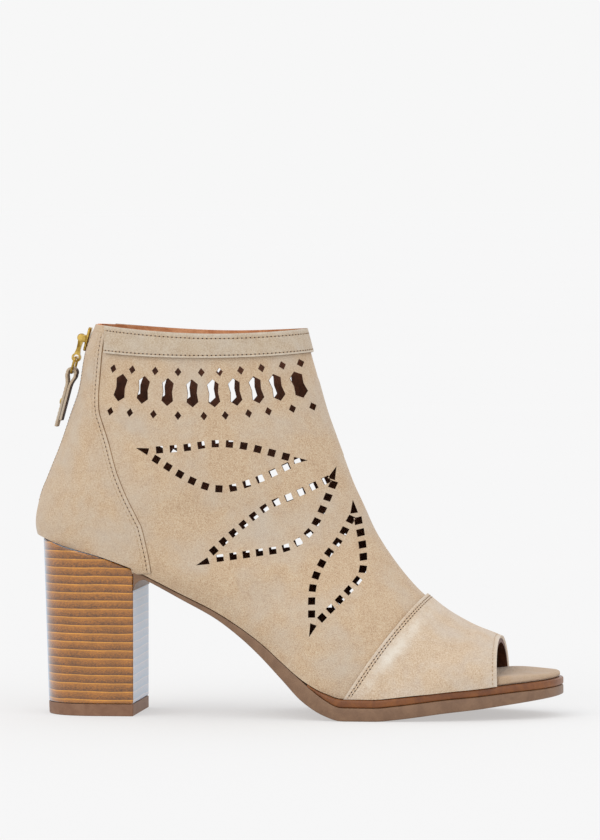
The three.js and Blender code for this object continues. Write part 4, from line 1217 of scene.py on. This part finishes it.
# Teeth of both sides by turns, each along the back of the last
toothZ = np.arange(zipSlot["bottom"] + tapeLook["teethFrom"], tapeLook["teethTop"], tapeLook["pitch"] / 2)
toothSide = np.where(np.arange(len(toothZ)) % 2 == 0, 1, -1) * tapeLook["toothAside"]
toothU = backStation(toothZ)
toothV = acrossBack(toothU, toothSide)
way = lastPoint(toothU + 0.01, np.pi) - lastPoint(toothU - 0.01, np.pi)
way = way / np.linalg.norm(way, axis=1, keepdims=True)
teethOut = lastNormal(toothU, np.full(len(toothU), np.pi))
teeth = np.stack([skin(toothU, toothV, -tapeLook["toothSunk"]), way, teethOut], 1)
zipTeeth = beads("zip_teeth", teeth, tapeLook["tooth"], 0, gold, 4.0)
finishPiece(zipTeeth, "gold_metal", "boot")


def rowBehind(z, y):
    # Row of stitches on the back of the last, at these heights and sides
    u = backStation(z)
    v = acrossBack(u, y)
    return skin(u, v, tapeLook["stitchLift"]), lastNormal(u, v)


rowY = zipSlot["width"] / 2 + tapeLook["stitchAside"]
rowEnd = zipSlot["bottom"] - tapeLook["stitchBelow"]
rowZ = np.linspace(boot["shaftHeight"] - 1, rowEnd, 90)
sew("zip_stitches_left", [rowBehind(rowZ, np.full(90, -rowY))])
sew("zip_stitches_right", [rowBehind(rowZ, np.full(90, rowY))])
sew("zip_stitches_end", [rowBehind(np.full(20, rowEnd), np.linspace(-1, 1, 20) * rowY)])

# Slider, puller, link and tab. Reaches and the stud's place are measured down from the pin
pullLook = dict(
    pinAt=0.0835, pinUp=0.973, lean=0.262, pinRadius=0.7, plateIn=2.2, plateThick=1.2,
    plateHalf=(2.5, 3.1, 2.3, 1.6), abovePin=5.6, belowPin=5.4, lugGap=1.6, lugThick=1.1, lugRadius=1.6,
    upperEye=1.1, lowerEye=1.3, eyeRim=0.8, pullerWidth=2.4, pullerWaist=0.9, pullerReach=9.2,
    linkBar=0.6, linkInside=8.4, linkHeight=7, linkRadius=1.2, tabWidth=7.8, tabLayer=1.22, tabReach=41.4,
    tabBend=1.3, tabPlay=0.04, innerShort=3.2, tabStitchIn=1.2, studDown=30,
)
pin = np.array([stationX(pullLook["pinAt"]), 0, pullLook["pinUp"] * boot["shaftHeight"]])


def atPin(points):
    # From the pin's own sizes, x in towards the boot and z up, to the boot's frame, leaning with the back
    points = np.asarray(points, float)
    cos, sin = math.cos(pullLook["lean"]), math.sin(pullLook["lean"])
    x, y, z = points[..., 0], points[..., 1], points[..., 2]
    return np.stack([x * cos + z * sin, y, z * cos - x * sin], -1) + pin


def slabObject(name, outline, low, high, axis, materials, edge=0.25, segments=3):
    # Outline carried along x or y between two depths, with rounded edges
    outline = np.asarray(outline, float)
    count = len(outline)
    ends = []
    for depth in (low, high):
        level = np.full(count, depth)
        first, second = (level, outline[:, 0]) if axis == "x" else (outline[:, 0], level)
        ends.append(np.stack([first, second, outline[:, 1]], -1))
    faces = [(i, (i + 1) % count, count + (i + 1) % count, count + i) for i in range(count)]
    faces += [tuple(range(count)), tuple(range(2 * count - 1, count - 1, -1))]
    piece = meshObject(name, atPin(np.concatenate(ends)), faces, materials)
    faceOut(piece)
    if edge:
        bevel(piece, edge, segments, 35)
    return piece


def disc(radius, x=0.0, z=0.0, steps=28, start=0.0, stop=2 * math.pi):
    # Points round a circle, or along an arc of it
    angle = np.linspace(start, stop, steps, endpoint=stop - start < 2 * math.pi)
    return np.stack([x + radius * np.cos(angle), z + radius * np.sin(angle)], -1)


def joined(name, pieces):
    # Several pieces made one mesh, with their modifiers applied
    points, faces, start = [], [], 0
    for piece in pieces:
        bake(piece)
        flat = np.empty(len(piece.data.vertices) * 3)
        piece.data.vertices.foreach_get("co", flat)
        points.append(flat.reshape(-1, 3) / mm)
        faces += [tuple(start + v for v in face.vertices) for face in piece.data.polygons]
        start += len(piece.data.vertices)
        material = piece.data.materials[0]
        bpy.data.objects.remove(piece)
    return meshObject(name, np.concatenate(points), faces, [material], sharp=40)


look = pullLook
plateOut = look["plateIn"] + look["plateThick"]
top, bottom = look["abovePin"], -look["belowPin"]
topHalf, midHalf, lowHalf, endHalf = look["plateHalf"]
shieldHalf = [(topHalf, top), (midHalf, top - 1), (midHalf, 0.5), (lowHalf, bottom + 1), (endHalf, bottom)]
shield = [(-y, z) for y, z in shieldHalf] + shieldHalf[::-1]
ear = np.concatenate([disc(look["lugRadius"], steps=18, start=math.pi / 2, stop=3 * math.pi / 2),
                      [(plateOut - 0.5, -look["lugRadius"]), (plateOut - 0.5, look["lugRadius"])]])
lugIn, lugOut = look["lugGap"], look["lugGap"] + look["lugThick"]
slider = joined("zip_slider_body", [
    slabObject("plate", shield, look["plateIn"], plateOut, "x", [gold], 0.4),
    slabObject("earLeft", ear, -lugOut, -lugIn, "y", [gold], 0.3),
    slabObject("earRight", ear, lugIn, lugOut, "y", [gold], 0.3),
    slabObject("pin", disc(look["pinRadius"]), -lugIn - 0.2, lugIn + 0.2, "y", [gold], 0),
])
finishPiece(slider, "gold_metal", "boot", "zip_slider")

# Puller: a bar with a round eye at each end, narrow between them
low = -look["pullerReach"]
upperRim, lowerRim = look["upperEye"] + look["eyeRim"], look["lowerEye"] + look["eyeRim"]
waist, eyeOpen = look["pullerWaist"], 0.9
bar = np.concatenate([
    disc(upperRim, steps=22, start=-eyeOpen, stop=math.pi + eyeOpen),
    [(-waist - 0.05, -3.4), (-waist, -5.4)],
    disc(lowerRim, 0, low, 22, math.pi - eyeOpen, 2 * math.pi + eyeOpen),
    [(waist, -5.4), (waist + 0.05, -3.4)],
])
width = look["pullerWidth"] / 2
puller = slabObject("zip_puller_bar", bar, -width, width, "y", [gold], 0)
cut(puller, slabObject("upperEye", disc(look["upperEye"]), -9, 9, "y", [gold], 0))
cut(puller, slabObject("lowerEye", disc(look["lowerEye"], 0, low), -9, 9, "y", [gold], 0))
bevel(puller, 0.35, 3, 50)
puller.data.set_sharp_from_angle(angle=math.radians(40))
finishPiece(puller, "gold_metal", "zip_pull", "zip_puller")


def carried(name, path, profile, sideways, closed, materials):
    # A profile of (side, height) points carried along a path. sideways gives the side direction, and the
    # height direction is square to it and to the path
    way = np.roll(path, -1, 0) - np.roll(path, 1, 0) if closed else np.gradient(path, axis=0)
    way = way / np.linalg.norm(way, axis=1, keepdims=True)
    side = np.broadcast_to(sideways, path.shape)
    height = np.cross(way, side)
    height = height / np.linalg.norm(height, axis=1, keepdims=True)
    rings = path[:, None] + side[:, None] * profile[None, :, :1] + height[:, None] * profile[None, :, 1:]
    if closed:
        piece = meshObject(name, atPin(rings), gridFaces(*rings.shape[:2], True, True), materials)
        faceOut(piece)
        return piece
    return tubeObject(name, atPin(rings), materials)


def roundedSlot(halfY, lowZ, highZ, radius, steps=10):
    # Rectangle with a quarter circle at each corner
    y, low, high = halfY - radius, lowZ + radius, highZ - radius
    quarter = math.pi / 2
    corners = [(y, high), (-y, high), (-y, low), (y, low)]
    return np.concatenate([disc(radius, *corner, steps, turn * quarter, (turn + 1) * quarter)
                           for turn, corner in enumerate(corners)])


foot = low - look["linkHeight"]
loop = roundedSlot(look["linkInside"] / 2 + look["linkBar"], foot, low, look["linkRadius"])
loopWalk, _ = evenly(np.concatenate([loop, loop[:1]]), 91)
loopWalk = loopWalk[:-1]
linkPath = np.stack([np.zeros(90), loopWalk[:, 0], loopWalk[:, 1]], -1)
ring = disc(look["linkBar"], steps=12)
link = carried("zip_link_ring", linkPath, ring, np.array([1.0, 0, 0]), True, [gold])
finishPiece(link, "gold_metal", "zip_pull", "zip_link")

# Leather tab: a strap up from its inner end, round the link and down again, stitched along both edges
layer = look["tabLayer"]
half = layer / 2 + look["tabPlay"]
turn = np.linspace(-0.35, math.pi + 0.35, 26)
radius = look["tabBend"] + layer / 2 + look["tabPlay"] / 2
around = np.stack([radius * np.cos(turn), foot + radius * np.sin(turn)], -1)
tip = -look["tabReach"]
inner = [(half, tip + look["innerShort"]), (half, tip + 12), (half + 0.01, foot - 6.4),
         (half + 0.45, foot - 4), (radius * 0.99, foot - 1.6)]
outer = [(-x, z) for x, z in inner[:0:-1]] + [(-half, tip)]
strap, _ = evenly(smoothLine(np.concatenate([inner, around, outer]), 160)[0], 120)
strapPath = np.stack([strap[:, 0], np.zeros(120), strap[:, 1]], -1)
# Cross-section of the strap: a superellipse that is almost a rectangle
edgeTurn = np.linspace(0, 2 * np.pi, 32, endpoint=False)
cos, sin = np.cos(edgeTurn), np.sin(edgeTurn)
strapEdge = np.stack([np.sign(cos) * np.abs(cos) ** 0.22 * look["tabWidth"] / 2,
                      np.sign(sin) * np.abs(sin) ** 0.22 * layer / 2], -1)
tab = carried("pull_tab_strap", strapPath, strapEdge, np.array([0, 1.0, 0]), False, [bandSuede, shadedFleshSide])
# The flesh side of the strap shows on the layer next to the boot, darkened as painted shade
inwards = Vector(atPin(np.array([1.0, 0, 0])) - atPin(np.zeros(3)))
for face in tab.data.polygons:
    ahead = (face.center / mm - Vector(pin)).dot(inwards)
    if face.normal.dot(inwards) > 0.6 and ahead > layer * 0.8:
        face.material_index = 1
finishPiece(tab, "suede", "zip_pull", "pull_tab")
tabRows = []
tabZ = np.linspace(foot - 6.5, tip + 1, 40)
outwards = atPin(np.array([[-1.0, 0, 0]])) - atPin(np.zeros((1, 3)))
for side in (-1, 1):
    tabY = side * (look["tabWidth"] / 2 - look["tabStitchIn"])
    row = np.stack([np.full(40, -half - layer / 2 - 0.02), np.full(40, tabY), tabZ], -1)
    tabRows.append((atPin(row), np.broadcast_to(outwards, (40, 3))))
sew("tab_stitches", tabRows, "zip_pull", holes=False)

# Rivet: radius and height of its low dome and of the shank under it, spun round
studProfile = np.array([
    (0.7, 0.97), (1.2, 0.8), (1.55, 0.45), (1.7, 0.15), (1.7, 0.0), (0.9, 0.0), (0.9, -0.3)])
turn = np.linspace(0, 2 * np.pi, 24, endpoint=False)
studX = -half - layer / 2 - studProfile[:, 1][:, None]
studY = studProfile[:, 0][:, None] * np.cos(turn)
studZ = studProfile[:, 0][:, None] * np.sin(turn) - look["studDown"]
studRings = np.stack(np.broadcast_arrays(studX, studY, studZ), -1)
stud = tubeObject("tab_rivet", atPin(studRings), [gold])
finishPiece(stud, "gold_metal", "zip_pull", "tab_stud")
print("zip made")

# Camera, floor and lights. Angles are in degrees, from the outer side round to the toe, and up

view = dict(azimuth=6.6, elevation=2.2, distance=3000, focal=287, right=91.9, up=131.2)
a, e = math.radians(view["azimuth"]), math.radians(view["elevation"])
targetX = view["right"] / math.cos(a)
target = Vector((targetX, 0, (view["up"] + targetX * math.sin(a) * math.sin(e)) / math.cos(e))) * mm
back = Vector((math.sin(a) * math.cos(e), -math.cos(a) * math.cos(e), math.sin(e)))
lens = bpy.data.cameras.new("camera")
lens.lens = view["focal"]
lens.sensor_fit = "VERTICAL"
lens.sensor_height = 36
lens.clip_end = 50
camera = bpy.data.objects.new("camera", lens)
camera.location = target + back * view["distance"] * mm
camera.rotation_euler = (-back).to_track_quat("-Z", "Y").to_euler()
bpy.context.scene.collection.objects.link(camera)
bpy.context.scene.camera = camera

bpy.context.scene.view_settings.view_transform = "Standard"
world = bpy.data.worlds.new("studio")
world.use_nodes = True
world.node_tree.nodes["Background"].inputs["Color"].default_value = linear("#F7F7F7")
world.node_tree.nodes["Background"].inputs["Strength"].default_value = 1.0
bpy.context.scene.world = world

# Matt paper sweep, in metres: even and shadeless but for the boot's own shadow
floorLook = dict(front=-6.0, back=30.0, side=16.0, dark="#A9A9A9", light="#AAAAAA")
floorX, floorY = np.meshgrid([-floorLook["side"], floorLook["side"]],
                             [floorLook["front"], floorLook["back"]])
floorPoints = np.stack([floorX, floorY, np.zeros((2, 2))], -1) / mm
paper, tree, shader, place = startMaterial("pale studio paper", {
    "Roughness": 0.9, "Specular IOR Level": 0.0,
    "Emission Color": linear("#F7F7F7"), "Emission Strength": 0.49,
})
speck = ramp(tree, noise(tree, place, 400, 2), [(0.0, floorLook["dark"]), (1.0, floorLook["light"])])
tree.links.new(speck, shader.inputs["Base Color"])
floor = meshObject("studio_floor", floorPoints, gridFaces(2, 2), [paper])


def sunLight(name, azimuth, elevation, softness, strength, colour):
    # Even light from one side: azimuth as for the camera, softness in degrees
    light = bpy.data.lights.new(name, "SUN")
    light.angle = math.radians(softness)
    light.energy = strength
    light.color = linear(colour)[:3]
    lamp = bpy.data.objects.new(name, light)
    a, e = math.radians(azimuth), math.radians(elevation)
    way = Vector((math.sin(a) * math.cos(e), -math.cos(a) * math.cos(e), math.sin(e)))
    lamp.rotation_euler = way.to_track_quat("Z", "Y").to_euler()
    bpy.context.scene.collection.objects.link(lamp)


sunLight("key", -35, 38, 50, 0.75, "#FFFAF4")
sunLight("fill", 50, 30, 60, 0.4, "#F6F8FF")
sunLight("back", 190, 35, 60, 0.35, "#EAF0FF")
print("studio made")
